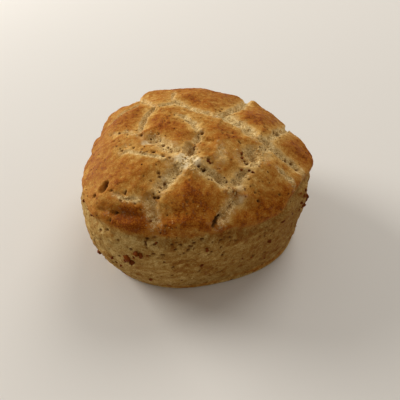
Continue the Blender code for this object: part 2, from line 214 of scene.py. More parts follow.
def curve_through(route: tuple[Place, ...], per_span: int = 12) -> Array:
    """A Catmull-Rom curve through the route's points.

    Args:
        route: points that the curve meets.
        per_span: samples between each two.

    Returns:
        The samples, N by 2.
    """
    points = np.asarray(route, float)
    padded = np.vstack((2 * points[0] - points[1], points, 2 * points[-1] - points[-2]))
    t = np.linspace(0.0, 1.0, per_span, endpoint=False)[:, None]
    spans = []
    for a, b, c, d in zip(padded[:-3], padded[1:-2], padded[2:-1], padded[3:]):
        cubic = (3 * b - a - 3 * c + d) * t**3 + (2 * a - 5 * b + 4 * c - d) * t**2
        spans.append(0.5 * (2 * b + (c - a) * t + cubic))
    return np.vstack(spans + [points[-1:]])


# --------------------------------------------------------------------------------------------------
# The dough's form


@dataclass(frozen=True)
class Form:
    """The plain dough before any relief: one profile turned round, with a waved outline.

    Each wave is its order, cosine and sine, the last two in millimetres.
    """

    widest_radius: float = 35.0 * MM
    widest_height: float = 20.1 * MM
    crown_height: float = 37.0 * MM
    foot_radius: float = 33.1 * MM
    foot_round: float = 1.1 * MM
    squareness: float = 2.3
    widest_waves: tuple = ((1, -0.25, -0.30), (2, -1.45, 0.40), (3, 1.95, -0.55), (4, -0.40, -0.90))
    foot_waves: tuple = ((2, -0.25, -0.45), (3, 0.60, -0.70), (4, -0.25, -0.55))
    profile_steps: tuple[int, int, int] = (400, 120, 12)
    table: tuple = field(init=False, repr=False, compare=False, default=None)

    def __post_init__(self) -> None:
        """Works the profile out once: arc length, radius and height from the top centre to the foot."""
        crown_steps, wall_steps, foot_steps = self.profile_steps
        power = 2.0 / self.squareness
        turn = np.linspace(0.0, math.pi / 2, crown_steps)
        crown_r = self.widest_radius * np.sin(turn) ** power
        rise = self.crown_height - self.widest_height
        crown_z = self.widest_height + rise * np.maximum(np.cos(turn), 0.0) ** power
        down = np.linspace(1.0, 0.0, wall_steps)[1:]
        wall_r = self.foot_radius + (self.widest_radius - self.foot_radius) * np.sin(down * math.pi / 2)
        wall_z = self.foot_round + (self.widest_height - self.foot_round) * down
        curl = np.linspace(0.0, math.pi / 2, foot_steps)[1:]
        foot_r = self.foot_radius - self.foot_round * (1.0 - np.cos(curl))
        foot_z = self.foot_round * (1.0 - np.sin(curl))
        radius = np.concatenate((crown_r, wall_r, foot_r))
        height = np.concatenate((crown_z, wall_z, foot_z))
        arc = np.concatenate(([0.0], np.cumsum(np.hypot(np.diff(radius), np.diff(height)))))
        object.__setattr__(self, "table", (arc, radius, height, arc[crown_steps - 1]))

    @property
    def widest_arc(self) -> float:
        """Arc length from the top centre to the widest line."""
        return self.table[3]

    @property
    def full_arc(self) -> float:
        """Arc length from the top centre to the edge of the flat foot."""
        return self.table[0][-1]

    def arc_at(self, height: float | Array) -> float | Array:
        """Arc length at which the profile passes a height."""
        arc, _, heights, _ = self.table
        return np.interp(-np.asarray(height), -heights, arc)

    def on_wall(self, places: Array) -> tuple[Array, Array]:
        """Arc lengths and angles in radians of places on the wall."""
        return self.arc_at(places[:, 1] * MM), np.radians(places[:, 0])

    @staticmethod
    def wave(waves: tuple, angle: Array) -> Array:
        """Sum over the waves of cosine * cos(order * angle) + sine * sin(order * angle).

        Args:
            waves: order, cosine and sine of each wave.
            angle: N angles.

        Returns:
            N sums in metres.
        """
        total = np.zeros_like(angle)
        for order, cosine, sine in waves:
            total += (cosine * np.cos(order * angle) + sine * np.sin(order * angle)) * MM
        return total

    def points(self, arc: Array, angle: Array) -> Array:
        """Points of the plain dough: (r cos a, r sin a, z) with r and z from the profile and r waved.

        Args:
            arc: arc lengths from the top centre.
            angle: angles round the dough.

        Returns:
            N by 3 points.
        """
        arcs, radii, heights, widest = self.table
        radius = np.interp(arc, arcs, radii)
        height = np.interp(arc, arcs, heights)
        rise = np.sin(np.clip(height / self.widest_height, 0.0, 1.0) * math.pi / 2)
        crown = arc <= widest
        share = np.where(crown, radius / self.widest_radius, rise)
        radius = radius + self.wave(self.widest_waves, angle) * share
        radius = radius + self.wave(self.foot_waves, angle) * np.where(crown, 0.0, 1.0 - rise)
        return np.stack((radius * np.cos(angle), radius * np.sin(angle), height), axis=1)

    def outward(self, arc: Array, angle: Array) -> Array:
        """Unit normals: the profile's tangent (dr, dz) turned to (-dz, dr).

        Args:
            arc: arc lengths from the top centre.
            angle: angles round the dough.

        Returns:
            N by 3 normals.
        """
        arcs, radii, heights, _ = self.table
        slope_r = np.interp(arc, arcs, np.gradient(radii, arcs))
        slope_z = np.interp(arc, arcs, np.gradient(heights, arcs))
        length = np.hypot(slope_r, slope_z)
        out = -slope_z / length
        return np.stack((out * np.cos(angle), out * np.sin(angle), slope_r / length), axis=1)

    def unrolled(self, places: Array | tuple[Place, ...]) -> Array:
        """Points of the plain dough at unrolled places in millimetres."""
        return self.points(*polar(places))


@dataclass(frozen=True)
class Crack:
    """One crack between tiles of crust: half width, depth and route in millimetres.

    Its floor is bare crumb as far as pale says; split is how much of its bottom is torn open, in painted
    shade.
    """

    half_width: float
    depth: float
    route: tuple
    pale: float = 1.0
    split: float = 0.0


CRACKS = {
    "back_left": Crack(0.7, 0.8, ((-21, 30), (-18.6, 21), (-15, 13), (-11.3, 7.7)), 0.6),
    "back_arc": Crack(0.85, 0.6, (
        (-11.1, 7.5), (-6.9, 8.2), (-5.3, 9.3), (-3.3, 7.8), (1.7, 3.6), (4.3, 2.7), (6.7, 0.9),
    ), 0.75),
    "right_arc": Crack(1.6, 0.9, ((6.8, 1.2), (9.7, 1.4), (12.3, -1.5), (14.8, -4.4), (17.2, -8.2))),
    "right_arc_end": Crack(1.2, 0.9, (
        (17.2, -8.2), (20, -8.7), (22.2, -11), (25.1, -12.8), (28.6, -14.2), (31, -17),
    ), 0.9, 0.3),
    "back_right": Crack(1.1, 1.0, (
        (7.5, 1.8), (11.4, 5.4), (14.4, 9.2), (17, 14), (19.4, 21.5), (20.5, 29),
    ), 0.9),
    "back_short": Crack(0.5, 0.4, ((-5.6, 9.8), (-6.2, 14.4), (-6.2, 19)), 0.6),
    "left_back": Crack(0.6, 1.1, (
        (-11.4, 7.6), (-13.5, 6), (-15.2, 3.6), (-16.4, 0.8), (-16.7, -2.1), (-15.3, -6.2),
    ), 0.9, 0.2),
    "crumb_band": Crack(1.7, 0.9, (
        (-12.8, -8.4), (-10.7, -9), (-8.3, -9.9), (-6.1, -11.6), (-4.2, -13.7), (-2.7, -16.4),
    ), 0.65, 0.2),
    "left_line": Crack(0.45, 0.45, ((-18.5, -13.2), (-12.7, -14.5), (-9.3, -15.3), (-4.9, -17)), 0.75),
    "left_hook": Crack(0.7, 0.25, (
        (-26.8, -3.6), (-23.2, -4.5), (-20, -5.1), (-16.5, -6.7), (-13.7, -8.2),
    ), 0.5, 0.3),
    "left_hollow": Crack(1.2, 0.4, ((-17.8, -12.9), (-16.7, -11.9), (-15.4, -11.6)), 0.3, 0.3),
    "centre": Crack(2.4, 0.5, ((-3.8, -16.7), (-2, -18), (-0.2, -18.8), (1.5, -20.2))),
    "centre_back": Crack(0.7, 1.0, ((2.7, -8.9), (1.7, -9.8), (0.7, -12.3), (0.2, -13.4)), 0.8, 0.3),
    "centre_pit": Crack(1.6, 1.5, ((0.4, -12.6), (-0.2, -13.8), (-1, -15.4), (-1.5, -17.2)), 0.75, 0.2),
    "thin_back": Crack(0.6, 0.6, (
        (-4.6, 1.5), (-2, -1), (0.1, -3.7), (1.7, -7.5), (2.4, -8.5),
    ), 0.9, 0.2),
    "lower_left": Crack(1.4, 1.1, (
        (-1.7, -19.4), (-3.6, -20.6), (-5.1, -22.3), (-6.4, -23.9), (-7.4, -26),
    ), 0.8, 0.3),
    "front": Crack(1.2, 0.8, (
        (-7.6, -26.5), (-8.7, -27.7), (-8.7, -29.9), (-8.1, -32.3), (-8, -35),
    ), 0.5, 0.1),
    "lower_right": Crack(1.0, 1.0, (
        (1.3, -20.6), (2.9, -21.8), (4.9, -23.4), (7.1, -24.9), (8.9, -26.5), (10.3, -27.8),
    ), 1.0, 0.3),
    "up_right": Crack(1.1, 1.1, (
        (10.3, -27.8), (12, -25.3), (13.2, -23.2), (14.3, -21.9), (15.3, -21.3),
    ), 0.95, 0.3),
    "crater": Crack(2.6, 2.0, ((14.6, -17.2), (15.6, -16.2), (16.8, -15.2), (18.3, -14.9)), 0.95, 0.3),
    "crater_rim": Crack(0.5, 0.1, (
        (13.6, -18.5), (15, -19.2), (16.4, -19.3), (17.6, -18), (18.6, -16.4),
    ), 1.0),
    "crater_back": Crack(1.2, 0.8, ((18, -14.5), (19.7, -11.7), (21.3, -10.3)), 0.9, 0.4),
    "tile_graze": Crack(1.0, 0.15, ((7.4, -13.4), (8.1, -16.2), (7.6, -18.8), (6.8, -20.6)), 0.45),
    "down_right": Crack(1.4, 1.3, (
        (12.8, -28.2), (12.2, -29.9), (10.5, -32), (8.5, -34), (6.6, -35.8),
    ), 0.65, 0.8),
    "roll_top": Crack(0.4, 0.35, (
        (-16.6, -24.7), (-15.2, -25.3), (-13.2, -26.3), (-11.6, -26.8), (-9.9, -27.2),
    ), 0.7),
    "roll_foot": Crack(0.5, 0.45, (
        (-20.8, -27), (-18.6, -28), (-16.5, -28.8), (-14.6, -29.5), (-12.8, -30.2), (-11, -30.6),
    ), 0.1),
    "right_thin": Crack(0.35, 0.5, ((22.3, -17.5), (24.4, -19), (26.4, -20.4), (27.6, -22.4)), 0.9, 0.1),
    "right_back": Crack(0.9, 0.8, (
        (20, -8.7), (22, -5.9), (24.6, -2.6), (28.2, 1), (32.2, 6), (35.5, 13),
    ), 0.8, 0.3),
    "far_left": Crack(1.0, 1.2, ((-21.5, 26), (-14, 31), (-5, 32), (4, 31)), 0.8, 0.3),
    "far_right": Crack(0.8, 1.0, ((4, 31), (12, 29.5), (20.5, 29)), 0.8, 0.3),
    "far_down": Crack(1.0, 1.1, ((-5, 32), (-6.5, 36), (-5, 41)), 0.8, 0.4),
    "left_far": Crack(0.9, 1.0, ((-16, 14), (-25, 12), (-32, 9)), 0.6, 0.2),
}


@dataclass(frozen=True)
class Ridge:
    """A soft rounded roll of dough: half width, height and route in millimetres."""

    half_width: float
    height: float
    route: tuple


RIDGES = {
    "upper_roll": Ridge(1.9, 0.7, (
        (-21.2, -24.3), (-20.2, -24.9), (-17.5, -26.3), (-15, -27.4), (-12.7, -28.5), (-10, -28.8),
    )),
    "lower_roll": Ridge(1.8, 0.6, (
        (-23, -27.6), (-21.7, -28.5), (-19.3, -29.9), (-17, -31.1), (-15, -32), (-11.5, -32.5),
    )),
}


@dataclass(frozen=True)
class CrackField:
    """All the cracks as fields over the dough: how deep they sink it and how much of it is bare crumb.

    Floor, bare and ridge_reach are shares of the half width.
    """

    form: Form
    step: float = 0.4 * MM
    end_taper: float = 2.5 * MM
    end_share: float = 0.4
    floor: Span = (0.25, 1.60)
    bare: Span = (0.6, 1.5)
    bare_spill: float = 0.7 * MM
    edge_reach: float = 2.4 * MM
    shoulder_reach: float = 4.0 * MM
    shoulder_sink: float = 1.0 * MM
    shoulders_searched: float = 2.5
    split_reach: float = 0.42 * MM
    split_depth: float = 0.9 * MM
    torn: tuple = ((65, 2.2, 1.0),)
    torn_more: float = 0.15
    torn_level: float = 0.5
    wander: tuple = ((0, 2.6, 0.5), (60, 0.9, 0.22))
    ridge_reach: float = 0.8
    ridge_searched: float = 3.0

    def route(self, crack: Crack | Ridge) -> tuple[Array, Array]:
        """The line of a crack or ridge on the plain dough in even steps, and its strength at each step.

        Args:
            crack: which crack or ridge.

        Returns:
            M by 3 points, and M shares that fall off smoothly towards both ends.
        """
        line = self.form.unrolled(curve_through(crack.route))
        along = np.concatenate(([0.0], np.cumsum(np.linalg.norm(np.diff(line, axis=0), axis=1))))
        steps = np.linspace(0.0, along[-1], max(2, round(along[-1] / self.step)))
        line = np.stack([np.interp(steps, along, line[:, axis]) for axis in range(3)], axis=1)
        from_end = np.minimum(steps, along[-1] - steps)
        return line, self.end_share + (1 - self.end_share) * smooth_step(0.0, self.end_taper, from_end)

    def nearest(self, points: Array, crack: Crack | Ridge, reach: float) -> tuple[Array, Array, Array]:
        """Which points lie near a crack or ridge, and how near.

        Args:
            points: N by 3, in metres.
            crack: which crack or ridge.
            reach: how far round its line to look.

        Returns:
            N truths of being near, then the near ones' distances to the line and its strengths there.
        """
        line, strength = self.route(crack)
        near = np.all((points > line.min(0) - reach) & (points < line.max(0) + reach), axis=1)
        gaps = np.linalg.norm(points[near][:, None, :] - line[None, :, :], axis=2)
        index = gaps.argmin(axis=1)
        return near, gaps[np.arange(len(gaps)), index], strength[index]

    def fields(self, points: Array) -> dict[str, Array]:
        """Sinks and masks at each point, from its distance d to the nearest step of each crack's line.

        A crack of half width w and depth D sinks its floor by D * (1 - ramp of d from 0.25 w to 1.6 w) and
        its shoulders by a bell of d - w.  Where cracks meet, the deepest counts.

        Args:
            points: N by 3 points of the plain dough.

        Returns:
            N values each: sink in metres, floor, bare crumb, nearness to a crack's edge, and torn split.
        """
        moved = shifted(points, self.wander)
        torn = smooth_step(0.0, self.torn_level, noise(points, self.torn, 1.0) + self.torn_more)
        found = {name: np.zeros(len(points)) for name in ("sink", "floor", "crumb", "edge", "split")}
        for crack in CRACKS.values():
            half_width = crack.half_width * MM
            reach = half_width + self.shoulders_searched * self.shoulder_reach
            near, distance, share = self.nearest(moved, crack, reach)
            beyond = np.maximum(distance - half_width, 0.0)
            inside = 1.0 - smooth_step(self.floor[0] * half_width, self.floor[1] * half_width, distance)
            shoulder = self.shoulder_sink * min(1.0, crack.depth) * bell(beyond, self.shoulder_reach)
            bare = self.bare[0] * half_width, self.bare[1] * half_width + self.bare_spill
            values = {
                "sink": share * (crack.depth * MM * inside + shoulder),
                "floor": inside * share,
                "crumb": share * crack.pale * (1.0 - smooth_step(*bare, distance)),
                "edge": share * crack.pale * bell(beyond, self.edge_reach),
                "split": share * crack.split * torn[near] * bell(distance, self.split_reach),
            }
            for name, value in values.items():
                found[name][near] = np.maximum(found[name][near], value)
        return found

    def ridges(self, points: Array) -> Array:
        """How far the rolls raise each point: height times a bell of the distance from a roll's line.

        Args:
            points: N by 3 points of the plain dough.

        Returns:
            N heights in metres.
        """
        rise = np.zeros(len(points))
        for ridge in RIDGES.values():
            half_width = ridge.half_width * MM
            near, distance, share = self.nearest(points, ridge, self.ridge_searched * half_width)
            value = share * ridge.height * MM * bell(distance, self.ridge_reach * half_width)
            rise[near] = np.maximum(rise[near], value)
        return rise


@dataclass(frozen=True)
class Patch:
    """A soft round patch: unrolled place and reach in millimetres, and how much it changes the dough."""

    across: float
    along: float
    reach: float
    amount: float

    def share(self, points: Array, form: Form) -> Array:
        """Amount times a bell of the distance from the patch's middle."""
        gap = np.linalg.norm(points - form.unrolled([(self.across, self.along)]), axis=1)
        return self.amount * bell(gap, self.reach * MM)


def patches(*rows: tuple[float, float, float, float]) -> tuple[Patch, ...]:
    """Patches from rows of place, reach and amount."""
    return tuple(Patch(*row) for row in rows)


def strongest(points: Array, form: Form, choices: tuple[Patch, ...]) -> Array:
    """The largest share of any of the patches at each point."""
    return np.max([patch.share(points, form) for patch in choices], axis=0)


# Puffed and sunken places on the crown, lifted by millimetres
SWELLS = patches(
    (-19, -24, 5.0, 0.5), (-13.5, 23.5, 5.0, 0.8), (-15.6, 21.5, 2.4, 0.8), (21.3, 19.5, 2.5, 1.7),
    (-21.5, 19.5, 3.0, -0.8), (31.5, 6.5, 3.0, -0.8), (37.2, -8, 3.2, 0.5), (39, -15, 3.0, -1.5),
    (-34.5, 7.5, 3.0, -1.0), (-35.6, -6.5, 2.5, -0.5), (-31.7, -26.6, 3.0, -0.6), (15.5, 23, 2.5, 0.6),
    (-32, -36, 6.0, 0.7), (40.5, -18.5, 3.0, 0.8),
)

# Where the crust is browner, or less brown, than its neighbours
BROWNING = patches(
    (-12.2, -31.2, 3.8, 0.75), (-16.5, -31.5, 2.5, 0.10), (-13.8, -29.6, 1.8, 0.12),
    (2.5, -30.5, 5.0, 0.12), (-0.6, -25.8, 3.8, 0.20), (-3.8, -35.2, 2.0, -0.12), (0, -36.5, 5.5, 0.36),
    (9, -37.5, 4.0, 0.36), (14.5, -37, 3.0, 0.16), (18.5, -33.0, 5.0, 0.14), (-24.0, 4.0, 9.0, 0.20),
    (18.0, 1.7, 5.0, 0.22), (21.8, -29.5, 5.0, 0.15), (27.0, -21.0, 3.4, 0.34), (30.7, -8.2, 5.0, 0.28),
    (10.6, -8.6, 2.0, 0.16), (7.0, -22.5, 1.8, 0.14), (18.5, 9.5, 6.0, 0.10), (3, 16, 9.0, 0.09),
    (-9.5, -1.0, 3.6, 0.17), (-8.3, -5.5, 2.6, 0.14), (-3.2, -9.6, 2.6, 0.18), (7.1, -13.6, 4.0, -0.06),
    (7.0, -19.2, 3.0, -0.12), (12.7, -25.1, 2.5, -0.12), (13.6, -30.4, 1.8, -0.30),
    (-20.1, -16.9, 6.0, -0.02), (20, -24, 3.0, -0.06), (1.3, -33.0, 2.2, -0.22), (-8.1, -17.4, 3.0, 0.12),
    (-6.3, -34.0, 2.4, 0.30),
)

# Where the wall is browner, or paler, than elsewhere
WALL_BROWNING = patches(
    (22.6, -45.7, 14.0, 0.16), (38.0, -29.3, 12.0, 0.20), (-3.0, -42.4, 9.0, 0.06),
    (-17.6, -34.5, 7.0, -0.16),
)

# Flour and bare crumb in the middle of the crown
FLOUR = patches(
    (-1.6, -17.8, 2.4, 1.0), (-3.2, -17.7, 1.9, 0.60), (0.8, -19.2, 1.6, 0.90), (-1.0, -19.6, 1.5, 0.85),
    (-5.8, -22.0, 2.0, 0.35), (12.3, -1.6, 2.2, 0.35), (7.2, 0.8, 1.6, 0.40), (13.4, -29.6, 1.7, 0.55),
    (-11.6, -10.6, 2.2, 0.45), (13.0, -26.6, 1.8, 0.45), (1.6, -32.2, 1.5, 0.22), (2.6, -34.0, 1.3, 0.22),
)

# Where pale crumb flecks the crust
FLECKS = patches(
    (1.6, -32.0, 1.6, 0.8), (2.4, -34.0, 1.5, 0.8), (-1.2, -29.5, 1.8, 0.5), (-4.6, -34.6, 2.6, 0.7),
    (-2.6, -36.8, 2.2, 0.6), (15.0, -34.1, 1.5, 0.8), (-11.5, -20.2, 1.8, 0.7), (-12.5, -26.6, 1.8, 0.9),
    (-17.2, -28.4, 1.5, 0.9), (-18.8, -5.0, 4.0, 0.5), (7.0, -17.0, 4.0, 0.5), (-27.0, -22.0, 3.5, 0.5),
    (29.0, -14.5, 3.0, 0.4),
)


@dataclass(frozen=True)
class Burst:
    """A burst bubble: unrolled place, radius and depth in millimetres, and how dark the painted shade is
    inside.
    """

    across: float
    along: float
    radius: float
    depth: float
    dark: float = 0.85


# Burst bubbles seen in the crown
BURSTS = tuple(Burst(*row) for row in (
    (-19.0, -22.2, 0.95, 1.5, 0.70), (-19.25, -22.9, 1.10, 1.4, 0.50), (-19.5, -23.6, 1.10, 1.2, 0.42),
    (-21.7, -24.5, 0.55, 0.7, 0.60), (-16.2, -29.0, 0.50, 0.9), (-14.1, -25.0, 0.50, 0.8),
    (-13.8, -24.6, 0.40, 0.6), (7.2, -34.0, 0.55, 1.1), (6.6, -34.7, 0.75, 1.4), (6.0, -35.4, 0.80, 1.5),
    (5.6, -36.1, 0.70, 1.2), (-0.4, -14.3, 1.30, 0.5, 0.25), (3.1, -21.4, 0.60, 1.1),
    (1.8, -20.6, 0.50, 0.9), (2.8, -8.5, 0.60, 0.8), (23.5, -2.7, 0.60, 0.8), (25.1, -2.4, 0.70, 0.9),
    (24.8, -4.5, 0.45, 0.6), (-14.0, -7.7, 0.45, 0.7), (-7.3, -27.0, 0.55, 0.9), (-8.0, -26.6, 0.50, 0.8),
    (-17.7, -13.1, 0.50, 0.6),
))

# Small holes seen in the crust, painted dark inside as shade: unrolled places in millimetres
SMALL_HOLES = (
    (4.2, -19.0), (10.9, -28.1), (11.8, -28.3), (13.6, -14.9), (13.7, -16.8), (14.2, -18.1),
    (14.9, -18.9), (17.9, -19.2), (26.1, -12.8), (29.7, -15.0), (28.0, -13.2), (0.6, -13.5), (0.5, -15.7),
    (-7.2, -20.5), (-7.1, -21.3), (-3.7, -22.2), (-6.1, -23.3), (-6.9, -24.0), (-8.1, -25.8),
    (-23.1, -4.4), (-26.4, -3.9), (-20.5, -3.6), (-20.0, -6.2), (-17.5, -4.4), (-22.6, -8.7),
    (-14.2, -12.6), (-8.6, -14.2), (-23.4, 8.9), (-8.7, -7.3), (-17.0, -24.1), (-11.9, -27.5),
    (-17.3, -30.4), (-9.1, -32.1), (-6.4, -15.6), (-4.9, -16.7), (-8.7, -13.9), (10.0, -10.3),
    (10.8, -7.6), (12.6, -11.1), (9.4, -25.3), (5.2, -24.7), (15.3, -23.9), (18.2, -29.3), (-10.6, -9.7),
    (-9.1, -9.1), (-6.6, -12.3), (-6.9, -35.2), (-10.9, -8.3), (-8.9, -11.5), (-7.9, -8.8), (-6.8, -10.4),
    (-5.6, -11.9), (-4.8, -13.5), (1.0, -16.1),
)

# Pits seen in the wall, painted dark inside as shade: angle in degrees and height in millimetres
WALL_PITS = np.array((
    (254, 25.2), (254, 24.1), (257, 24.0), (257.6, 24.3), (255, 21.1), (263, 23.6), (266, 23.2),
    (264, 22.3), (271, 22.7), (270, 22.0), (269, 21.5), (266, 20.5), (267, 20.5), (277, 17.9),
    (260, 18.1), (263, 16.0), (255, 13.8), (278, 18.8), (282, 21.4), (282, 19.2), (285, 14.0),
    (273, 10.9), (282, 7.5), (284, 7.3), (302, 17.4), (289, 20.0), (286, 21.3), (300, 10.2), (283, 15.9),
    (249, 22.3), (260, 21.2), (274, 23.1), (293, 9.6), (241, 14.9), (310, 17.0), (231, 18.0),
))


@dataclass(frozen=True)
class Pitting:
    """The holes in the dough, painted dark inside as shade: burst bubbles, small holes, wall pits, strewn
    pores.

    A section is how far the floor and the rim reach, as shares of the radius, or in metres in the wall.
    A row of pores is its random draw, spacing, radii, share of cells that hold one, and depth.
    """

    form: Form
    ragged: tuple = ((95, 0.7, 0.18),)
    burst_section: Span = (0.3, 1.2)
    small_section: Span = (0.3, 1.4)
    small_draw: int = 96
    small_radii: Span = (0.26, 0.50)
    small_depth: float = 1.1
    small_dark: float = 0.7
    wall_section: Span = (0.20 * MM, 0.65 * MM)
    wall_depth: float = 0.5 * MM
    wall_pores: tuple = ((70, 2.6, (0.4, 0.80), 0.30, 0.45), (71, 1.4, (0.3, 0.55), 0.45, 0.35))
    crust_pores: tuple = ((72, 1.5, (0.25, 0.5), 0.28, 0.25),)
    crumb_pores: tuple = ((73, 1.0, (0.25, 0.5), 0.40, 0.25),)
    pore_dark: float = 0.8
    pore_dark_lost: float = 0.35
    shade: Span = (0.1, 0.8)
    pore_shade: Span = (0.15, 0.8)

    def hollows(self, points: Array, squash: Array) -> tuple[Array, Array]:
        """The holes that are placed one by one.

        Args:
            points: N by 3 points of the plain dough.
            squash: the stretch of heights that makes the wall's pits lie flat.

        Returns:
            Depths in metres and darknesses of painted shade from 0 to 1, N of each.
        """
        depth = np.zeros(len(points))
        dark = np.zeros(len(points))
        ragged = shifted(points, self.ragged)
        for burst in BURSTS:
            middle = self.form.unrolled([(burst.across, burst.along)])
            cup = hollow(ragged, middle, np.array(self.burst_section) * burst.radius * MM)
            depth = np.maximum(depth, burst.depth * MM * cup)
            dark = np.maximum(dark, burst.dark * smooth_step(*self.shade, cup))
        random = np.random.RandomState(SEED + self.small_draw)
        radii = random.uniform(*self.small_radii, len(SMALL_HOLES)) * MM
        for middle, radius in zip(self.form.unrolled(SMALL_HOLES), radii):
            cup = hollow(ragged, middle, np.array(self.small_section) * radius)
            depth = depth + self.small_depth * radius * cup
            dark = np.maximum(dark, self.small_dark * smooth_step(*self.shade, cup))
        flat = ragged * squash
        for middle in self.form.points(*self.form.on_wall(WALL_PITS)) * squash:
            cup = hollow(flat, middle, self.wall_section)
            depth = depth + self.wall_depth * cup
            dark = np.maximum(dark, smooth_step(*self.shade, cup))
        return depth, dark

    def depths(self, points: Array, squash: Array, on_wall: Array, crumbly: Array) -> tuple[Array, Array]:
        """All the holes and pores of crust, wall and bare crumb.

        Args:
            points: N by 3 points of the plain dough.
            squash: the stretch of heights that makes the wall's pores lie flat.
            on_wall: N shares of wall.
            crumbly: N shares of crack floor.

        Returns:
            Depths in metres and darknesses of painted shade from 0 to 1, N of each.
        """
        depth, dark = self.hollows(points, squash)
        strewn = (
            (points * squash, self.wall_pores, on_wall),
            (points, self.crust_pores, (1.0 - on_wall) * (1.0 - crumbly)),
            (points, self.crumb_pores, crumbly),
        )
        for places, rows, where in strewn:
            for draw, spacing, radii, share, deep in rows:
                cup = pores(places, spacing, radii, share, draw) * where
                shade = self.pore_dark - self.pore_dark_lost * crumbly
                depth = depth + deep * MM * cup
                dark = np.maximum(dark, shade * smooth_step(*self.pore_shade, cup))
        return depth, dark


@dataclass(frozen=True)
class Browning:
    """How browned the dough is, from 0, unbaked, to 1, dark.

    The crust is paler by cracks and on hollows, and patchy.  The wall is browner in blotches and paler along
    the foot.
    """

    form: Form
    crust: float = 0.62
    crust_by_cracks: float = 0.50
    crust_by_grain: float = 1.3
    patchy: tuple = ((80, 6.0, 0.12), (81, 2.4, 0.08))
    fine: tuple = ((82, 1.2, 0.13), (87, 0.7, 0.19))
    wall: float = 0.32
    wall_by_grain: float = 0.6
    blotches: tuple = ((83, 3.4, 1.0), (84, 1.5, 0.6))
    blotch_ramp: Span = (0.15, 0.75)
    blotched: float = 0.28
    foot: float = 0.45
    foot_height: float = 0.3 * MM
    foot_reach: float = 0.8 * MM

    def levels(self, points: Array, near_edge: Array, wall: Array, grain: tuple[Array, Array]) -> Array:
        """How browned each point is.

        Args:
            points: N by 3 points of the plain dough.
            near_edge: N nearnesses to a crack.
            wall: N shares of wall.
            grain: N heights in metres of the crust's grain, and N of the wall's.

        Returns:
            N values from 0 to 1.
        """
        fine = noise(points, self.fine, 1.0)
        crust_grain, wall_grain = grain
        crust = self.crust - self.crust_by_cracks * near_edge + noise(points, self.patchy, 1.0)
        crust = crust + fine + self.crust_by_grain * crust_grain / MM
        crust = sum((patch.share(points, self.form) for patch in BROWNING), crust)
        blotch = smooth_step(*self.blotch_ramp, noise(points, self.blotches, 1.0))
        foot = self.foot * bell(points[:, 2] - self.foot_height, self.foot_reach)
        side = self.wall + self.blotched * blotch - foot + fine + self.wall_by_grain * wall_grain / MM
        side = sum((patch.share(points, self.form) for patch in WALL_BROWNING), side)
        return np.clip(crust * (1.0 - wall) + side * wall, 0.0, 1.0)


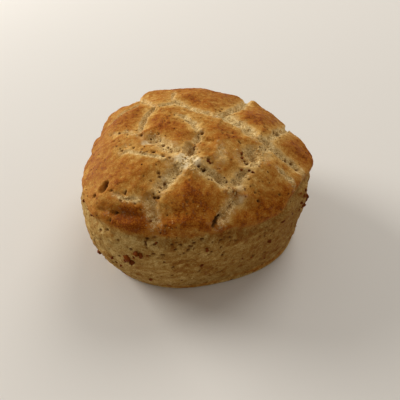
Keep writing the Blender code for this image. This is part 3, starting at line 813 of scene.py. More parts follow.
@dataclass
class Dough:
    """The baked dough: a ring lattice over the crown, rows down the wall and a flat foot, pushed into relief.

    Lip heights are an angle in degrees and a height in millimetres.  A layer of noise is its random draw,
    wavelength and size in millimetres.
    """

    form: Form
    cracks: CrackField
    pitting: Pitting
    browning: Browning
    rings: int = 130
    wall_rows: int = 58
    inner_foot: float = 0.6
    lip_heights: tuple = (
        (0, 26.5), (60, 24), (120, 24.5), (180, 25), (222, 26.4), (240, 26), (256, 26.8), (268, 25.7),
        (282, 24.2), (298, 22.6), (311, 23.2), (318, 25.8), (331, 26.8), (340, 25.6), (350, 24.4),
    )
    lip_wander: tuple = ((5, 7.0, 1.0),)
    lip_swell: float = 0.8 * MM
    lip_swell_above: float = 1.8 * MM
    neck_depth: float = 0.8 * MM
    neck_below: float = 1.3 * MM
    wall_start: Span = (-1.0 * MM, 2.0 * MM)
    crack_fade: float = 3.0 * MM
    crown_lumps: tuple = ((10, 9.0, 0.45), (11, 3.6, 0.16))
    wall_lumps: tuple = ((20, 9.0, 0.45), (21, 4.0, 0.30))
    crumble: tuple = ((30, 1.5, 0.28), (31, 0.8, 0.22))
    crust_grain: tuple = ((40, 2.4, 0.06), (41, 1.3, 0.09), (42, 0.75, 0.09))
    crumb_grain_lost: float = 0.5
    wall_grain: tuple = ((50, 2.6, 0.13), (51, 1.4, 0.16), (52, 0.8, 0.12))
    wall_squash: float = 1.9
    calm_foot: float = 2.5 * MM
    foot_flare: float = 0.25 * MM
    flare_height: float = 0.6 * MM
    flare_reach: float = 1.1 * MM
    edge_fray: tuple = ((55, 2.6, 1.1), (56, 1.2, 0.6))
    wall_look: Span = (-1.2 * MM, 2.4 * MM)
    rim_height: float = 1.9 * MM
    rim_reach: float = 0.75 * MM
    rim_crust: float = 0.9
    scorch: tuple = ((85, 4.5, 1.0),)
    scorch_squash: float = 3.0
    scorch_ramp: Span = (-0.15, 0.30)
    flour_specks: tuple = ((90, 1.5, 0.30), (91, 0.75, 0.34))
    flour_rim: float = 0.4
    flour_ramp: Span = (0.25, 0.95)

    def lip_arc(self, points: Array, angle: Array) -> Array:
        """Arc length at which the crust ends: heights read round the dough, with noise added.

        Args:
            points: N by 3 points of the plain dough.
            angle: their angles.

        Returns:
            N arc lengths.
        """
        turns, heights = np.array(self.lip_heights, float).T
        height = np.interp(np.degrees(angle) % 360.0, turns, heights, period=360.0) * MM
        return self.form.arc_at(height + noise(points, self.lip_wander))

    def surface(self, arc: Array, angle: Array) -> tuple[Array, dict[Mask, Array]]:
        """The finished surface and its masks at arc lengths and angles.

        Each plain point moves along its normal by the sum of the lip's swell and neck, lumps, rolls, swells,
        crumble and grain, less the cracks' sink and the holes.  That dies away near the foot, which flares.

        Args:
            arc: arc lengths from the top centre.
            angle: angles round the dough.

        Returns:
            N by 3 points, and N values for each mask.
        """
        points = self.form.points(arc, angle)
        squash = np.array((1.0, 1.0, self.wall_squash))
        below_lip = arc - self.lip_arc(points, angle)
        on_wall = smooth_step(*self.wall_start, below_lip)
        crack = self.cracks.fields(points)
        fade = 1.0 - smooth_step(0.0, self.crack_fade, below_lip)
        crumbly = crack["floor"] * fade
        crust_grain = noise(points, self.crust_grain)
        wall_grain = noise(points * squash, self.wall_grain)
        move = self.lip_swell * bell(below_lip + self.lip_swell_above, self.lip_swell_above)
        move = move - self.neck_depth * bell(below_lip - self.neck_below, self.neck_below)
        move = move + noise(points, self.crown_lumps) * (1.0 - on_wall)
        move = move + noise(points, self.wall_lumps) * on_wall
        move = move + self.cracks.ridges(points)
        move = sum((swell.share(points, self.form) * MM for swell in SWELLS), move)
        move = move - (crack["sink"] + self.cracks.split_depth * crack["split"]) * fade
        move = move + noise(points, self.crumble) * crumbly
        grain_left = (1.0 - on_wall) * (1.0 - self.crumb_grain_lost * crumbly)
        move = move + crust_grain * grain_left + wall_grain * on_wall
        # Holes sink the surface, and hole_shade is the painted shade inside them
        hole_depth, hole_shade = self.pitting.depths(points, squash, on_wall, crumbly)
        move = (move - hole_depth) * smooth_step(0.0, self.calm_foot, points[:, 2])
        move = move + self.foot_flare * bell(points[:, 2] - self.flare_height, self.flare_reach)
        finished = points + self.form.outward(arc, angle) * move[:, None]
        finished[:, 2] = np.maximum(finished[:, 2], 0.0)
        wall_look = self.wall_share(points, below_lip)
        grain = crust_grain, wall_grain
        masks = {
            Mask.CRUMB: crack["crumb"] * fade,
            Mask.FLOUR: self.flour(points),
            Mask.TOAST: self.browning.levels(points, crack["edge"] * fade, wall_look, grain),
            # Painted shade in holes, pores and torn crack bottoms
            Mask.PIT: np.maximum(hole_shade, crack["split"] * fade),
            Mask.WALL: wall_look,
            Mask.FLECK: strongest(points, self.form, FLECKS),
        }
        return finished, masks

    def wall_share(self, points: Array, below_lip: Array) -> Array:
        """How much each point looks like wall: all of it under a frayed lip, but for scorched bits of rim.

        Args:
            points: N by 3 points of the plain dough.
            below_lip: N arc lengths past the crust's end.

        Returns:
            N values from 0 to 1.
        """
        tall = np.array((1.0, 1.0, self.scorch_squash))
        scorched = smooth_step(*self.scorch_ramp, noise(points * tall, self.scorch, 1.0))
        rim = scorched * bell(points[:, 2] - self.rim_height, self.rim_reach)
        frayed = below_lip + noise(points, self.edge_fray)
        return smooth_step(*self.wall_look, frayed) * (1.0 - self.rim_crust * rim)

    def flour(self, points: Array) -> Array:
        """Soft patches of flour broken into specks by noise: a ramp of patch plus noise.

        Args:
            points: N by 3 points of the plain dough.

        Returns:
            N values from 0 to 1.
        """
        total = strongest(points, self.form, FLOUR)
        specks = noise(points, self.flour_specks, 1.0) * smooth_step(0.0, self.flour_rim, total)
        return smooth_step(*self.flour_ramp, total + specks)

    def sunk(self, arc: Array, angle: Array, depth: Array) -> Array:
        """Places a depth in metres under the finished surface, where baked-in bits have their middles."""
        points, _ = self.surface(arc, angle)
        return points - self.form.outward(arc, angle) * depth[:, None]

    def lattice(self) -> tuple[Array, Array, Array]:
        """Arc lengths, angles and triangles of the whole dough but the flat foot.

        Ring k of the crown has 6 k points, so its triangles are near equilateral; the wall's rows repeat the
        last ring's angles.

        Returns:
            Arc lengths and angles of the points, and M by 3 point numbers that face outwards.
        """
        around = 6 * self.rings
        rings = np.concatenate([np.full(max(1, 6 * ring), ring) for ring in range(self.rings + 1)])
        steps = np.concatenate([np.arange(max(1, 6 * ring)) for ring in range(self.rings + 1)])
        rows = np.linspace(self.form.widest_arc, self.form.full_arc, self.wall_rows + 1)[1:]
        arc = np.concatenate((self.form.widest_arc * rings / self.rings, np.repeat(rows, around)))
        turn = np.tile(2 * math.pi * np.arange(around) / around, self.wall_rows)
        angle = np.concatenate((2 * math.pi * steps / np.maximum(6 * rings, 1), turn))
        row = self.ring_start(self.rings) + np.arange(self.wall_rows)[:, None] * around
        upper = row + np.arange(around)
        beside = row + (np.arange(around) + 1) % around
        lower, lower_beside = upper + around, beside + around
        faces = [self.ring_triangles(ring) for ring in range(1, self.rings + 1)]
        faces.append(np.stack((lower, lower_beside, beside), axis=2).reshape(-1, 3))
        faces.append(np.stack((lower, beside, upper), axis=2).reshape(-1, 3))
        return arc, angle, np.vstack(faces)

    @staticmethod
    def ring_start(ring: int) -> int:
        """Number of a ring's first point, where ring k has 6 k points round the top centre."""
        return 0 if ring == 0 else 1 + 3 * ring * (ring - 1)

    def ring_triangles(self, ring: int) -> Array:
        """Triangles between a ring and the one inside it, sector by sector, faces up.

        Args:
            ring: number of the outer ring.

        Returns:
            M by 3 point numbers.
        """
        outer, inner = 6 * ring, 6 * (ring - 1)
        place = np.arange(outer)
        sector, step = place // ring, place % ring
        apex = self.ring_start(ring - 1) + ((sector * (ring - 1) + step) % inner if inner else 0 * place)
        first = self.ring_start(ring)
        wide = np.stack((first + place, first + (place + 1) % outer, apex), axis=1)
        if not inner:
            return wide
        place = np.arange(inner)
        sector, step = place // (ring - 1), place % (ring - 1)
        start = self.ring_start(ring - 1)
        apex = first + (sector * ring + step + 1) % outer
        return np.vstack((wide, np.stack((start + (place + 1) % inner, start + place, apex), axis=1)))

    def build(self) -> bpy.types.Object:
        """Makes the dough's object with its masks, closed under the foot by two rings of triangles.

        Returns:
            The dough's piece.
        """
        arc, angle, faces = self.lattice()
        points, masks = self.surface(arc, angle)
        around = 6 * self.rings
        count = len(points)
        last = count - around
        inner = points[last:] * np.array((self.inner_foot, self.inner_foot, 1.0))
        here, beside = np.arange(around), (np.arange(around) + 1) % around
        foot = [
            np.stack((last + beside, last + here, count + here), axis=1),
            np.stack((last + beside, count + here, count + beside), axis=1),
            np.stack((count + beside, count + here, np.full(around, count + around)), axis=1),
        ]
        whole = np.vstack((points, inner, np.zeros((1, 3))))
        piece = mesh_object("dough", whole, np.vstack([faces, *foot]))
        for mask, values in masks.items():
            carry(piece, mask.value, np.concatenate((values, values[last:], values[-1:])))
        return piece


# --------------------------------------------------------------------------------------------------
# Blender's objects


def placed(name: str, data: bpy.types.ID) -> bpy.types.Object:
    """Links a new object to the scene.

    Args:
        name: the object's name.
        data: its mesh, light or camera.

    Returns:
        The object.
    """
    item = bpy.data.objects.new(name, data)
    bpy.context.scene.collection.objects.link(item)
    return item


def hold(item: bpy.types.Object, target: Vector, away: Vector, distance: float) -> None:
    """Holds a lamp or a camera at a distance from its target, facing it.

    Args:
        item: the lamp or camera.
        target: what it faces.
        away: unit direction from the target to it.
        distance: how far off it is.
    """
    item.location = target + away * distance
    item.rotation_mode = "QUATERNION"
    item.rotation_quaternion = away.to_track_quat("Z", "Y")


def mesh_object(name: str, points: Array, faces: Array) -> bpy.types.Object:
    """A smooth-shaded mesh object at the origin from arrays of points and triangles.

    Args:
        name: the piece's name.
        points: N by 3, in metres.
        faces: M by 3 point numbers.

    Returns:
        The new object, linked to the scene.
    """
    mesh = bpy.data.meshes.new(name)
    mesh.vertices.add(len(points))
    mesh.vertices.foreach_set("co", np.asarray(points, np.float32).ravel())
    mesh.loops.add(3 * len(faces))
    mesh.loops.foreach_set("vertex_index", np.asarray(faces, np.int32).ravel())
    mesh.polygons.add(len(faces))
    mesh.polygons.foreach_set("loop_start", np.arange(0, 3 * len(faces), 3, dtype=np.int32))
    mesh.polygons.foreach_set("use_smooth", np.ones(len(faces), bool))
    mesh.update(calc_edges=True)
    mesh.validate()
    return placed(name, mesh)


def carry(piece: bpy.types.Object, name: str, values: Array) -> None:
    """Gives each point of a piece a value, which its finish reads by name."""
    attribute = piece.data.attributes.new(name, "FLOAT", "POINT")
    attribute.data.foreach_set("value", values.astype(np.float32))


# --------------------------------------------------------------------------------------------------
# Loose and fused bits


@dataclass
class Bits:
    """Many small rough lumps of one kind, made as one mesh from a shared ball."""

    name: str
    subdivisions: int
    roughness: float
    stretch: Span
    draw: int

    def ball(self) -> tuple[Array, Array]:
        """A unit icosphere.

        Returns:
            Its points, and its triangles as point numbers.
        """
        shape = bmesh.new()
        bmesh.ops.create_icosphere(shape, subdivisions=self.subdivisions, radius=1.0)
        points = np.array([vertex.co[:] for vertex in shape.verts])
        faces = np.array([[vertex.index for vertex in face.verts] for face in shape.faces])
        shape.free()
        return points, faces

    def build(self, centres: Array, sizes: Array) -> bpy.types.Object:
        """One lump at each centre: the ball scaled by size, stretched on three random axes, and roughened.

        Args:
            centres: N by 3 middles of the lumps.
            sizes: N lengths across.

        Returns:
            The piece with all the lumps.
        """
        points, faces = self.ball()
        random = np.random.RandomState(SEED + self.draw)
        count = len(centres)
        turns, _ = np.linalg.qr(random.normal(size=(count, 3, 3)))
        scale = random.uniform(*self.stretch, (count, 1, 3)) * (sizes / 2)[:, None, None]
        rough = 1.0 + self.roughness * random.uniform(-1, 1, (count, len(points), 1))
        placed_lumps = np.einsum("nij,npj->npi", turns, points[None] * rough * scale) + centres[:, None]
        flip = np.linalg.det(turns) < 0
        numbers = faces[None] + (np.arange(count) * len(points))[:, None, None]
        numbers[flip] = numbers[flip][:, :, ::-1]
        piece = mesh_object(self.name, placed_lumps.reshape(-1, 3), numbers.reshape(-1, 3))
        carry(piece, TONE, np.repeat(random.uniform(0.0, 1.0, count), len(points)))
        return piece


# Crackling on the wall: angle in degrees, height and size in millimetres
SHOWN_CRACKLING = (
    (251, 21.6, 1.6), (252.5, 21.2, 1.3), (247, 19.0, 1.9), (248.4, 17.6, 1.6), (246, 17.6, 1.1),
    (257, 24.0, 1.1), (254.5, 21.0, 0.9), (274, 13.6, 1.5), (250, 20.2, 0.9), (230, 12.6, 1.3),
    (240, 16.4, 0.8), (226, 6.5, 0.7), (241, 14.6, 0.8), (243, 14.4, 0.8), (308, 13.5, 1.5),
    (321, 19.1, 0.9), (314, 19.5, 1.1), (327, 23.8, 1.1), (330, 22.0, 1.5), (334, 20.0, 1.8),
    (332, 17.6, 1.8), (333, 16.2, 1.2), (331, 23.6, 0.9), (329, 19.8, 1.1), (270, 22.1, 0.8),
    (335, 18.2, 1.5),
)

# Crackling on the crown: unrolled place and size in millimetres
CROWN_CRACKLING = (
    (4.0, -19.3, 0.9), (4.7, -19.9, 0.7), (16.4, -21.7, 1.1), (13.5, -21.1, 0.8), (15.5, -21.1, 0.8),
    (30.9, -17.2, 0.8), (-6.9, -35.2, 0.8), (-9.1, -32.1, 0.8), (-24.4, -28.2, 0.9), (-30.9, -23.6, 0.9),
    (-36.0, -24.3, 0.9), (-24.2, -26.9, 0.7), (-21.7, -28.7, 0.7), (13.4, -15.6, 0.9), (13.5, -17.0, 1.0),
    (14.1, -18.2, 0.9), (-35.8, -7.3, 1.0), (-34.3, -2.4, 0.8), (19.8, -32.9, 0.6), (10.0, -10.3, 0.6),
)


@dataclass
class Crackling:
    """Crumbs of crackling baked into the dough: the shown ones, then ones strewn round the wall.

    Heights and sizes are in millimetres, and the far side is its first angle and its width in degrees.
    """

    dough: Dough
    far_count: int = 17
    far_side: Span = (-10, 225)
    far_jitter: Span = (0.1, 0.9)
    far_heights: Span = (6, 24)
    far_sizes: Span = (0.9, 2.0)
    small_count: int = 40
    small_heights: Span = (3, 25)
    small_sizes: Span = (0.5, 1.0)
    sunk_share: float = 0.2

    def places(self) -> tuple[Array, Array, Array]:
        """Where the crumbs lie.

        Returns:
            Arc lengths, angles and sizes of the crumbs.
        """
        random = np.random.RandomState(SEED)
        jitter = random.uniform(*self.far_jitter, self.far_count)
        first, width = self.far_side
        far = [
            first + width * ((np.arange(self.far_count) + jitter) / self.far_count),
            random.uniform(*self.far_heights, self.far_count),
            random.uniform(*self.far_sizes, self.far_count),
        ]
        small = [
            random.uniform(0, 360, self.small_count),
            random.uniform(*self.small_heights, self.small_count),
            random.uniform(*self.small_sizes, self.small_count),
        ]
        rows = np.vstack((SHOWN_CRACKLING, np.stack(far, axis=1), np.stack(small, axis=1)))
        crown = np.array(CROWN_CRACKLING)
        wall_arc, wall_angle = self.dough.form.on_wall(rows)
        crown_arc, crown_angle = polar(crown[:, :2])
        sizes = np.concatenate((rows[:, 2], crown[:, 2])) * MM
        return np.concatenate((wall_arc, crown_arc)), np.concatenate((wall_angle, crown_angle)), sizes

    def build(self) -> bpy.types.Object:
        """Sinks each crumb into the dough so that about a third of it stands proud."""
        arc, angle, sizes = self.places()
        bits = Bits("crackling", subdivisions=2, roughness=0.30, stretch=(0.6, 1.35), draw=100)
        return bits.build(self.dough.sunk(arc, angle, self.sunk_share * sizes), sizes)


@dataclass
class Scatter:
    """Fine bits strewn along the cracks, over the crust or in the holes, where each hole gets one."""

    dough: Dough
    name: str
    where: Strewn
    sizes: Span
    draw: int
    count: int = 0
    crust_reach: float = 38.0
    throw: float = 0.55
    sunk_share: float = 0.12

    def places(self) -> tuple[Array, Array]:
        """Where the bits lie.

        Along the cracks they are random steps of the routes with a sideways throw, more on wide and pale
        cracks.

        Returns:
            Arc lengths and angles of the bits.
        """
        random = np.random.RandomState(SEED + self.draw)
        # In the holes, one dark bit each stands in for the shade inside the hole
        if self.where is Strewn.HOLES:
            small, pits = polar(SMALL_HOLES), self.dough.form.on_wall(WALL_PITS)
            return np.concatenate((small[0], pits[0])), np.concatenate((small[1], pits[1]))
        if self.where is Strewn.CRUST:
            reach = self.crust_reach * np.sqrt(random.uniform(0, 1, self.count))
            return reach * MM, random.uniform(0, 2 * math.pi, self.count)
        lines = [(crack, curve_through(crack.route)) for crack in CRACKS.values()]
        widths = np.concatenate([np.full(len(line), crack.half_width) for crack, line in lines])
        pale = np.concatenate([np.full(len(line), crack.pale) for crack, line in lines])
        weight = widths * pale**3
        chosen = random.choice(len(weight), self.count, p=weight / weight.sum())
        places = np.vstack([line for _, line in lines])[chosen]
        return polar(places + random.normal(size=(self.count, 2)) * widths[chosen, None] * self.throw)

    def build(self) -> bpy.types.Object:
        """Sets every bit into the surface so that under half of it stands proud.

        Returns:
            The piece with all the bits.
        """
        arc, angle = self.places()
        random = np.random.RandomState(SEED + self.draw + 1)
        sizes = random.uniform(*self.sizes, len(arc)) * MM
        bits = Bits(self.name, subdivisions=1, roughness=0.12, stretch=(0.7, 1.3), draw=self.draw + 2)
        return bits.build(self.dough.sunk(arc, angle, self.sunk_share * sizes), sizes)


# --------------------------------------------------------------------------------------------------
# Finishes


class Nodes:
    """A node tree with short calls for adding nodes and joining their sockets."""

    def __init__(self, tree: bpy.types.NodeTree) -> None:
        """Keeps the tree that nodes go to."""
        self.tree = tree

    def fill(self, node: bpy.types.Node, values: dict) -> None:
        """Sets a node's inputs.

        Args:
            node: the node.
            values: socket name or number to a constant, or to an output socket that is linked to it.
        """
        for name, value in values.items():
            if isinstance(value, Socket):
                self.tree.links.new(value, node.inputs[name])
            else:
                node.inputs[name].default_value = value

    def add(self, kind: str, values: dict | None = None, **settings: object) -> bpy.types.Node:
        """Adds a node.

        Args:
            kind: the node's type name without its ShaderNode prefix, or with Node in front for group ends.
            values: socket name or number to a constant or an output socket.
            settings: the node's own properties.

        Returns:
            The node.
        """
        node = self.tree.nodes.new(kind if kind.startswith("Node") else "ShaderNode" + kind)
        for name, value in settings.items():
            setattr(node, name, value)
        self.fill(node, values or {})
        return node

    def maths(self, operation: str, first: Socket, second: Socket | float, clamp: bool = False) -> Socket:
        """One Math node's result."""
        return self.add("Math", {0: first, 1: second}, operation=operation, use_clamp=clamp).outputs[0]

    def mix(self, share: Socket, first: Socket | tuple, second: Socket | tuple) -> Socket:
        """Colour that goes from first to second as share goes from 0 to 1."""
        return self.add("Mix", {0: share, 6: first, 7: second}, data_type="RGBA").outputs[2]

    def ramp(self, value: Socket, stops: tuple) -> Socket:
        """Colour read off a ramp.

        Args:
            value: where on the ramp.
            stops: position and colour of each stop.

        Returns:
            The colour.
        """
        node = self.add("ValToRGB", {0: value})
        elements = node.color_ramp.elements
        while len(elements) < len(stops):
            elements.new(0.5)
        for element, (position, colour) in zip(elements, stops):
            element.position = position
            element.color = colour
        return node.outputs[0]

    def span(self, value: Socket, source: Span, target: Span = (0.0, 1.0)) -> Socket:
        """Value taken linearly from one range to another, clamped."""
        values = {0: value, 1: source[0], 2: source[1], 3: target[0], 4: target[1]}
        return self.add("MapRange", values, clamp=True).outputs[0]

    def mask(self, name: str) -> Socket:
        """The values that a piece carries under a name."""
        return self.add("Attribute", attribute_name=name).outputs["Fac"]


def new_finish(name: str) -> tuple[bpy.types.Material, Nodes, bpy.types.Node]:
    """A new material that uses nodes.

    Args:
        name: the material's name.

    Returns:
        The material, its tree and its shader.
    """
    material = bpy.data.materials.new(name)
    material.use_nodes = True
    return material, Nodes(material.node_tree), material.node_tree.nodes["Principled BSDF"]


@dataclass(frozen=True)
class FineGrain:
    """The grain that the finishes share: noise as a mottle and a height, and tiny dots."""

    dots_flattened: float = 1.5
    coarse_detail: float = 3.0
    fine_detail: float = 2.0
    noise_roughness: float = 0.65
    mottle: Span = (0.38, 0.62)
    crisp: Span = (0.36, 0.64)
    dot_spreads: Span = (1.0, 1.37)
    dot_edge: Span = (0.12, 0.34)
    dot_choice: Span = (0.45, 0.80)

    def build(self) -> bpy.types.NodeTree:
        """Makes the node group.

        Returns:
            A group that puts out a mottle, a height, specks, flecks and a crisp mottle, all from 0 to 1.
        """
        group = bpy.data.node_groups.new("fine_grain", "ShaderNodeTree")
        for name in ("Coarse Scale", "Fine Scale", "Speck Scale"):
            group.interface.new_socket(name, in_out="INPUT", socket_type="NodeSocketFloat")
        for name in ("Mottle", "Height", "Specks", "Flecks", "Crisp"):
            group.interface.new_socket(name, in_out="OUTPUT", socket_type="NodeSocketFloat")
        nodes = Nodes(group)
        start = nodes.add("NodeGroupInput")
        end = nodes.add("NodeGroupOutput")
        where = nodes.add("TexCoord").outputs["Object"]
        flat = nodes.add("Mapping", {"Vector": where, "Scale": (1.0, 1.0, self.dots_flattened)}).outputs[0]
        noises = []
        for scale, detail in zip(start.outputs, (self.coarse_detail, self.fine_detail)):
            values = {"Vector": where, "Scale": scale, "Detail": detail, "Roughness": self.noise_roughness}
            noises.append(nodes.add("TexNoise", values).outputs[0])
        both = nodes.maths("MULTIPLY", nodes.maths("ADD", *noises), 0.5)
        dots = []
        for spread in self.dot_spreads:
            scale = nodes.maths("MULTIPLY", start.outputs[2], spread)
            cells = nodes.add("TexVoronoi", {"Vector": flat, "Scale": scale})
            choice = nodes.add("SeparateColor", {0: cells.outputs["Color"]}).outputs[0]
            near = nodes.span(cells.outputs["Distance"], self.dot_edge, (1.0, 0.0))
            dots.append(nodes.maths("MULTIPLY", near, nodes.span(choice, self.dot_choice)))
        mottle, crisp = nodes.span(both, self.mottle), nodes.span(noises[1], self.crisp)
        nodes.fill(end, {0: mottle, 1: both, 2: dots[0], 3: dots[1], 4: crisp})
        return group


@dataclass(frozen=True)
class Grain:
    """How a finish uses the shared grain: scales per metre, and the bump's strength and distance."""

    group: bpy.types.NodeTree
    coarse: float
    fine: float
    specks: float
    strength: float
    distance: float

    def add(self, nodes: Nodes) -> tuple[bpy.types.Node, Socket]:
        """Places the group and a bump in a material.

        Args:
            nodes: the material's tree.

        Returns:
            The group's node and the bumped normal.
        """
        scales = {"Coarse Scale": self.coarse, "Fine Scale": self.fine, "Speck Scale": self.specks}
        node = nodes.add("Group", node_tree=self.group)
        nodes.fill(node, scales)
        height = node.outputs["Height"]
        bump = nodes.add("Bump", {"Strength": self.strength, "Distance": self.distance, "Height": height})
        return node, bump.outputs[0]


@dataclass(frozen=True)
class DoughFinish:
    """Crust, wall and bare crumb on one surface, told apart by the dough's masks.

    A pair named for a mask or for the grain is the range of it that counts.  A share is the most that a
    layer covers what is under it.
    """

    grain: Grain
    crust_stops: tuple = (
        (0.00, (0.72, 0.43, 0.130, 1)),
        (0.30, (0.515, 0.257, 0.053, 1)),
        (0.60, (0.41, 0.156, 0.018, 1)),
        (0.85, (0.34, 0.096, 0.005, 1)),
        (1.00, (0.20, 0.042, 0.001, 1)),
    )
    wall_stops: tuple = (
        (0.00, (0.58, 0.39, 0.140, 1)),
        (0.35, (0.39, 0.22, 0.056, 1)),
        (0.70, (0.27, 0.112, 0.015, 1)),
        (1.00, (0.20, 0.058, 0.005, 1)),
    )
    shade: Span = (-0.24, 0.24)
    crumb_dark: tuple = (0.40, 0.23, 0.065, 1)
    crumb_pale: tuple = (0.88, 0.65, 0.30, 1)
    crumb_crisp: float = 0.4
    crumb_mottle: Span = (0.2, 1.2)
    crumb_edge: Span = (0.15, 0.85)
    crumb_broken: Span = (-0.22, 0.22)
    flour_colour: tuple = (0.92, 0.74, 0.45, 1)
    flour_share: float = 0.85
    fleck_colour: tuple = (0.74, 0.48, 0.17, 1)
    fleck_edge: Span = (0.05, 0.8)
    fleck_share: float = 0.80
    torn: Span = (0.40, 0.24)
    # Painted shade in holes: a brown ring round a near-black middle
    pit_rim_shade: tuple = (0.20, 0.075, 0.012, 1)
    pit_rim_edge: Span = (0.05, 0.50)
    pit_rim_share: float = 0.85
    pit_shade_colour: tuple = (0.045, 0.016, 0.004, 1)
    pit_edge: Span = (0.45, 1.00)
    pit_share: float = 0.90
    roughness: Span = (0.88, 0.60)
    specular: float = 0.06

    def build(self) -> bpy.types.Material:
        """Builds the material: ramps of browning, crumb in the cracks, flour, flecks, painted shade in pits
        and mottle.

        Returns:
            The material.
        """
        material, nodes, shader = new_finish("dough_finish")
        full = (0.0, 1.0)
        mask = {each: nodes.mask(each.value) for each in Mask}
        grain, normal = self.grain.add(nodes)
        mottle, crisp = grain.outputs["Mottle"], grain.outputs["Crisp"]
        shade = nodes.span(nodes.maths("ADD", mottle, crisp), (0.0, 2.0), self.shade)
        toast = nodes.maths("ADD", mask[Mask.TOAST], shade, clamp=True)
        crust, wall = nodes.ramp(toast, self.crust_stops), nodes.ramp(toast, self.wall_stops)
        clumped = nodes.maths("ADD", mottle, nodes.maths("MULTIPLY", crisp, self.crumb_crisp))
        crumb = nodes.mix(nodes.span(clumped, self.crumb_mottle), self.crumb_dark, self.crumb_pale)
        broken = nodes.span(mottle, full, self.crumb_broken)
        edge = nodes.span(nodes.maths("ADD", mask[Mask.CRUMB], broken), self.crumb_edge)
        flecks = nodes.span(mask[Mask.FLECK], self.fleck_edge, (0.0, self.fleck_share))
        # The grain's tiny dark dots take the same colours as the painted shade in pits, fewer on bare crumb
        torn = nodes.maths("MULTIPLY", grain.outputs["Specks"], nodes.span(mask[Mask.CRUMB], full, self.torn))
        pit = nodes.maths("MAXIMUM", mask[Mask.PIT], torn)
        layers = (
            (nodes.span(mask[Mask.FLOUR], full, (0.0, self.flour_share)), self.flour_colour),
            (nodes.maths("MULTIPLY", grain.outputs["Flecks"], flecks), self.fleck_colour),
            # Painted shade in holes, pores and torn crack bottoms: the brown ring, then the darker middle
            (nodes.span(pit, self.pit_rim_edge, (0.0, self.pit_rim_share)), self.pit_rim_shade),
            (nodes.span(pit, self.pit_edge, (0.0, self.pit_share)), self.pit_shade_colour),
        )
        colour = nodes.mix(edge, nodes.mix(mask[Mask.WALL], crust, wall), crumb)
        for share, over in layers:
            colour = nodes.mix(share, colour, over)
        rough = nodes.span(toast, full, self.roughness)
        looks = {"Base Color": colour, "Normal": normal, "Roughness": rough}
        nodes.fill(shader, looks | {"Specular IOR Level": self.specular})
        return material


@dataclass(frozen=True)
class BitFinish:
    """A finish for small bits: two colours mottled by the shared grain and by each bit's own tone."""

    name: str
    dark: tuple
    light: tuple
    roughness: float
    grain: Grain
    roughness_spread: float = 0.08
    specular: float = 0.05

    def build(self) -> bpy.types.Material:
        """Builds the material.

        Returns:
            The material.
        """
        material, nodes, shader = new_finish(self.name)
        grain, normal = self.grain.add(nodes)
        mottle = grain.outputs["Mottle"]
        share = nodes.maths("MULTIPLY", nodes.maths("ADD", mottle, nodes.mask(TONE)), 0.5)
        colour = nodes.mix(share, self.dark, self.light)
        smoothest, roughest = self.roughness - self.roughness_spread, self.roughness + self.roughness_spread
        rough = nodes.span(mottle, (0.0, 1.0), (smoothest, roughest))
        looks = {"Base Color": colour, "Normal": normal, "Roughness": rough}
        nodes.fill(shader, looks | {"Specular IOR Level": self.specular})
        return material


# --------------------------------------------------------------------------------------------------
# The stage


@dataclass(frozen=True)
class Lamp:
    """A soft round lamp aimed at the scone: turned clockwise from behind and raised, in degrees."""

    name: str
    azimuth: float
    elevation: float
    power: float
    colour: tuple
    distance: float = 1.2
    size: float = 0.66

    def build(self) -> None:
        """Puts the lamp at its distance, facing the origin."""
        turn, rise = math.radians(self.azimuth), math.radians(self.elevation)
        away = Vector((math.cos(rise) * math.sin(turn), math.cos(rise) * math.cos(turn), math.sin(rise)))
        data = bpy.data.lights.new(self.name, "AREA")
        data.shape = "DISK"
        data.size = self.size
        data.energy = self.power
        data.color = self.colour
        hold(placed(self.name, data), Vector((0.0, 0.0, 0.0)), away, self.distance)


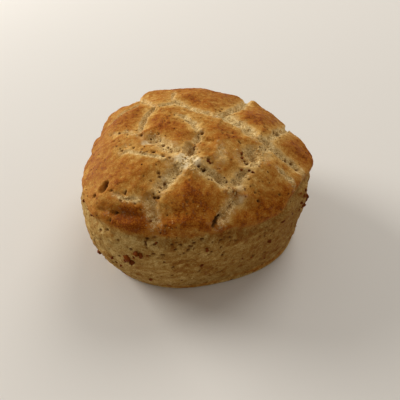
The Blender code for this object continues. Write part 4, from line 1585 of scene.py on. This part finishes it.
@dataclass(frozen=True)
class Stage:
    """A plain pale floor, soft light from behind on the left, and the camera at the photo's angle."""

    floor_size: float = 3.0
    floor_colour: tuple = (0.74, 0.71, 0.66, 1)
    floor_roughness: float = 0.9
    elevation: float = math.radians(43.0)
    distance: float = 103.0 * MM
    target: tuple = (2.0 * MM, -6.9 * MM, 10.5 * MM)
    lens: float = 28.8
    sensor: float = 36.0
    nearest_seen: float = 5.0 * MM
    lamps: tuple = (
        Lamp("window", azimuth=296.0, elevation=23.0, power=12.2, colour=(1.0, 0.98, 0.95)),
        Lamp("ceiling", azimuth=30.0, elevation=52.0, power=4.8, colour=(1.0, 0.97, 0.93)),
    )
    sky_front_colour: tuple = (1.0, 0.91, 0.80, 1)
    sky_back_colour: tuple = (1.0, 0.98, 0.96, 1)
    sky_front: float = 0.24
    sky_back: float = 0.52

    def build(self) -> None:
        """Makes the floor, the lamps, the sky and the camera."""
        bpy.context.scene.view_settings.view_transform = "Standard"
        self.floor()
        for lamp in self.lamps:
            lamp.build()
        self.sky()
        self.camera()

    def floor(self) -> None:
        """The floor, which is no part of the scone."""
        half = self.floor_size / 2
        corners = [(-half, -half, 0), (half, -half, 0), (half, half, 0), (-half, half, 0)]
        mesh = bpy.data.meshes.new("floor")
        mesh.from_pydata(corners, [], [(0, 1, 2, 3)])
        floor = placed("floor", mesh)
        material, nodes, shader = new_finish("floor_finish")
        nodes.fill(shader, {"Base Color": self.floor_colour, "Roughness": self.floor_roughness})
        mesh.materials.append(material)

    def sky(self) -> None:
        """Soft light from all round, warmer and dimmer in front."""
        world = bpy.data.worlds.new("sky")
        world.use_nodes = True
        sky = Nodes(world.node_tree)
        depth = sky.add("SeparateXYZ", {0: sky.add("TexCoord").outputs["Generated"]}).outputs[1]
        strength = sky.span(depth, (-1.0, 1.0), (self.sky_front, self.sky_back))
        colour = sky.mix(sky.span(depth, (-1.0, 1.0)), self.sky_front_colour, self.sky_back_colour)
        sky.fill(world.node_tree.nodes["Background"], {"Strength": strength, "Color": colour})
        bpy.context.scene.world = world

    def camera(self) -> None:
        """The camera, held on its target from the front at the photo's elevation."""
        data = bpy.data.cameras.new("camera")
        data.lens = self.lens
        data.sensor_width = self.sensor
        data.clip_start = self.nearest_seen
        view = placed("camera", data)
        back = Vector((0.0, -math.cos(self.elevation), math.sin(self.elevation)))
        hold(view, Vector(self.target), back, self.distance)
        bpy.context.scene.camera = view


# --------------------------------------------------------------------------------------------------
# Putting it together


def settle(piece: bpy.types.Object, material: bpy.types.Material) -> None:
    """Dresses a piece, rides it on the scone's body and makes it stand for the solid.

    Args:
        piece: the finished piece, at the origin.
        material: its finish.
    """
    piece.data.materials.clear()
    piece.data.materials.append(material)
    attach(piece, BODY)
    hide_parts(NODE)
    LOG.info("%s: %d triangles", piece.name, len(piece.data.polygons))


def main() -> None:
    """Builds the stage, the dough and its bits, and reports each piece."""
    logging.basicConfig(level=logging.INFO, format="%(name)s %(message)s")
    Stage().build()
    form = Form()
    dough = Dough(form, CrackField(form), Pitting(form), Browning(form))
    group = FineGrain().build()
    dough_grain = Grain(group, coarse=1000.0, fine=2800.0, specks=900.0, strength=0.55, distance=0.30 * MM)
    grain = Grain(group, coarse=1400.0, fine=4000.0, specks=2000.0, strength=0.3, distance=0.12 * MM)
    crackling = BitFinish("crackling_finish", (0.075, 0.013, 0.001, 1), (0.28, 0.064, 0.005, 1), 0.5, grain)
    pale = BitFinish("crumb_finish", (0.48, 0.29, 0.09, 1), (0.78, 0.55, 0.23, 1), 0.85, grain)
    dark = BitFinish("speck_finish", (0.045, 0.014, 0.003, 1), (0.17, 0.055, 0.010, 1), 0.6, grain)
    parts = (
        (dough, DoughFinish(dough_grain)),
        (Crackling(dough), crackling),
        (Scatter(dough, "crumbs", Strewn.CRACKS, sizes=(0.3, 0.7), draw=200, count=480), pale),
        (Scatter(dough, "crack_specks", Strewn.CRACKS, sizes=(0.2, 0.4), draw=300, count=60), dark),
        (Scatter(dough, "crust_specks", Strewn.CRUST, sizes=(0.2, 0.45), draw=400, count=200), dark),
        # One dark bit in every small hole and wall pit, as painted shade
        (Scatter(dough, "hole_shade_specks", Strewn.HOLES, sizes=(0.35, 0.6), draw=500), dark),
    )
    for part, finish in parts:
        settle(part.build(), finish.build())


if __name__ == "__main__":
    main()
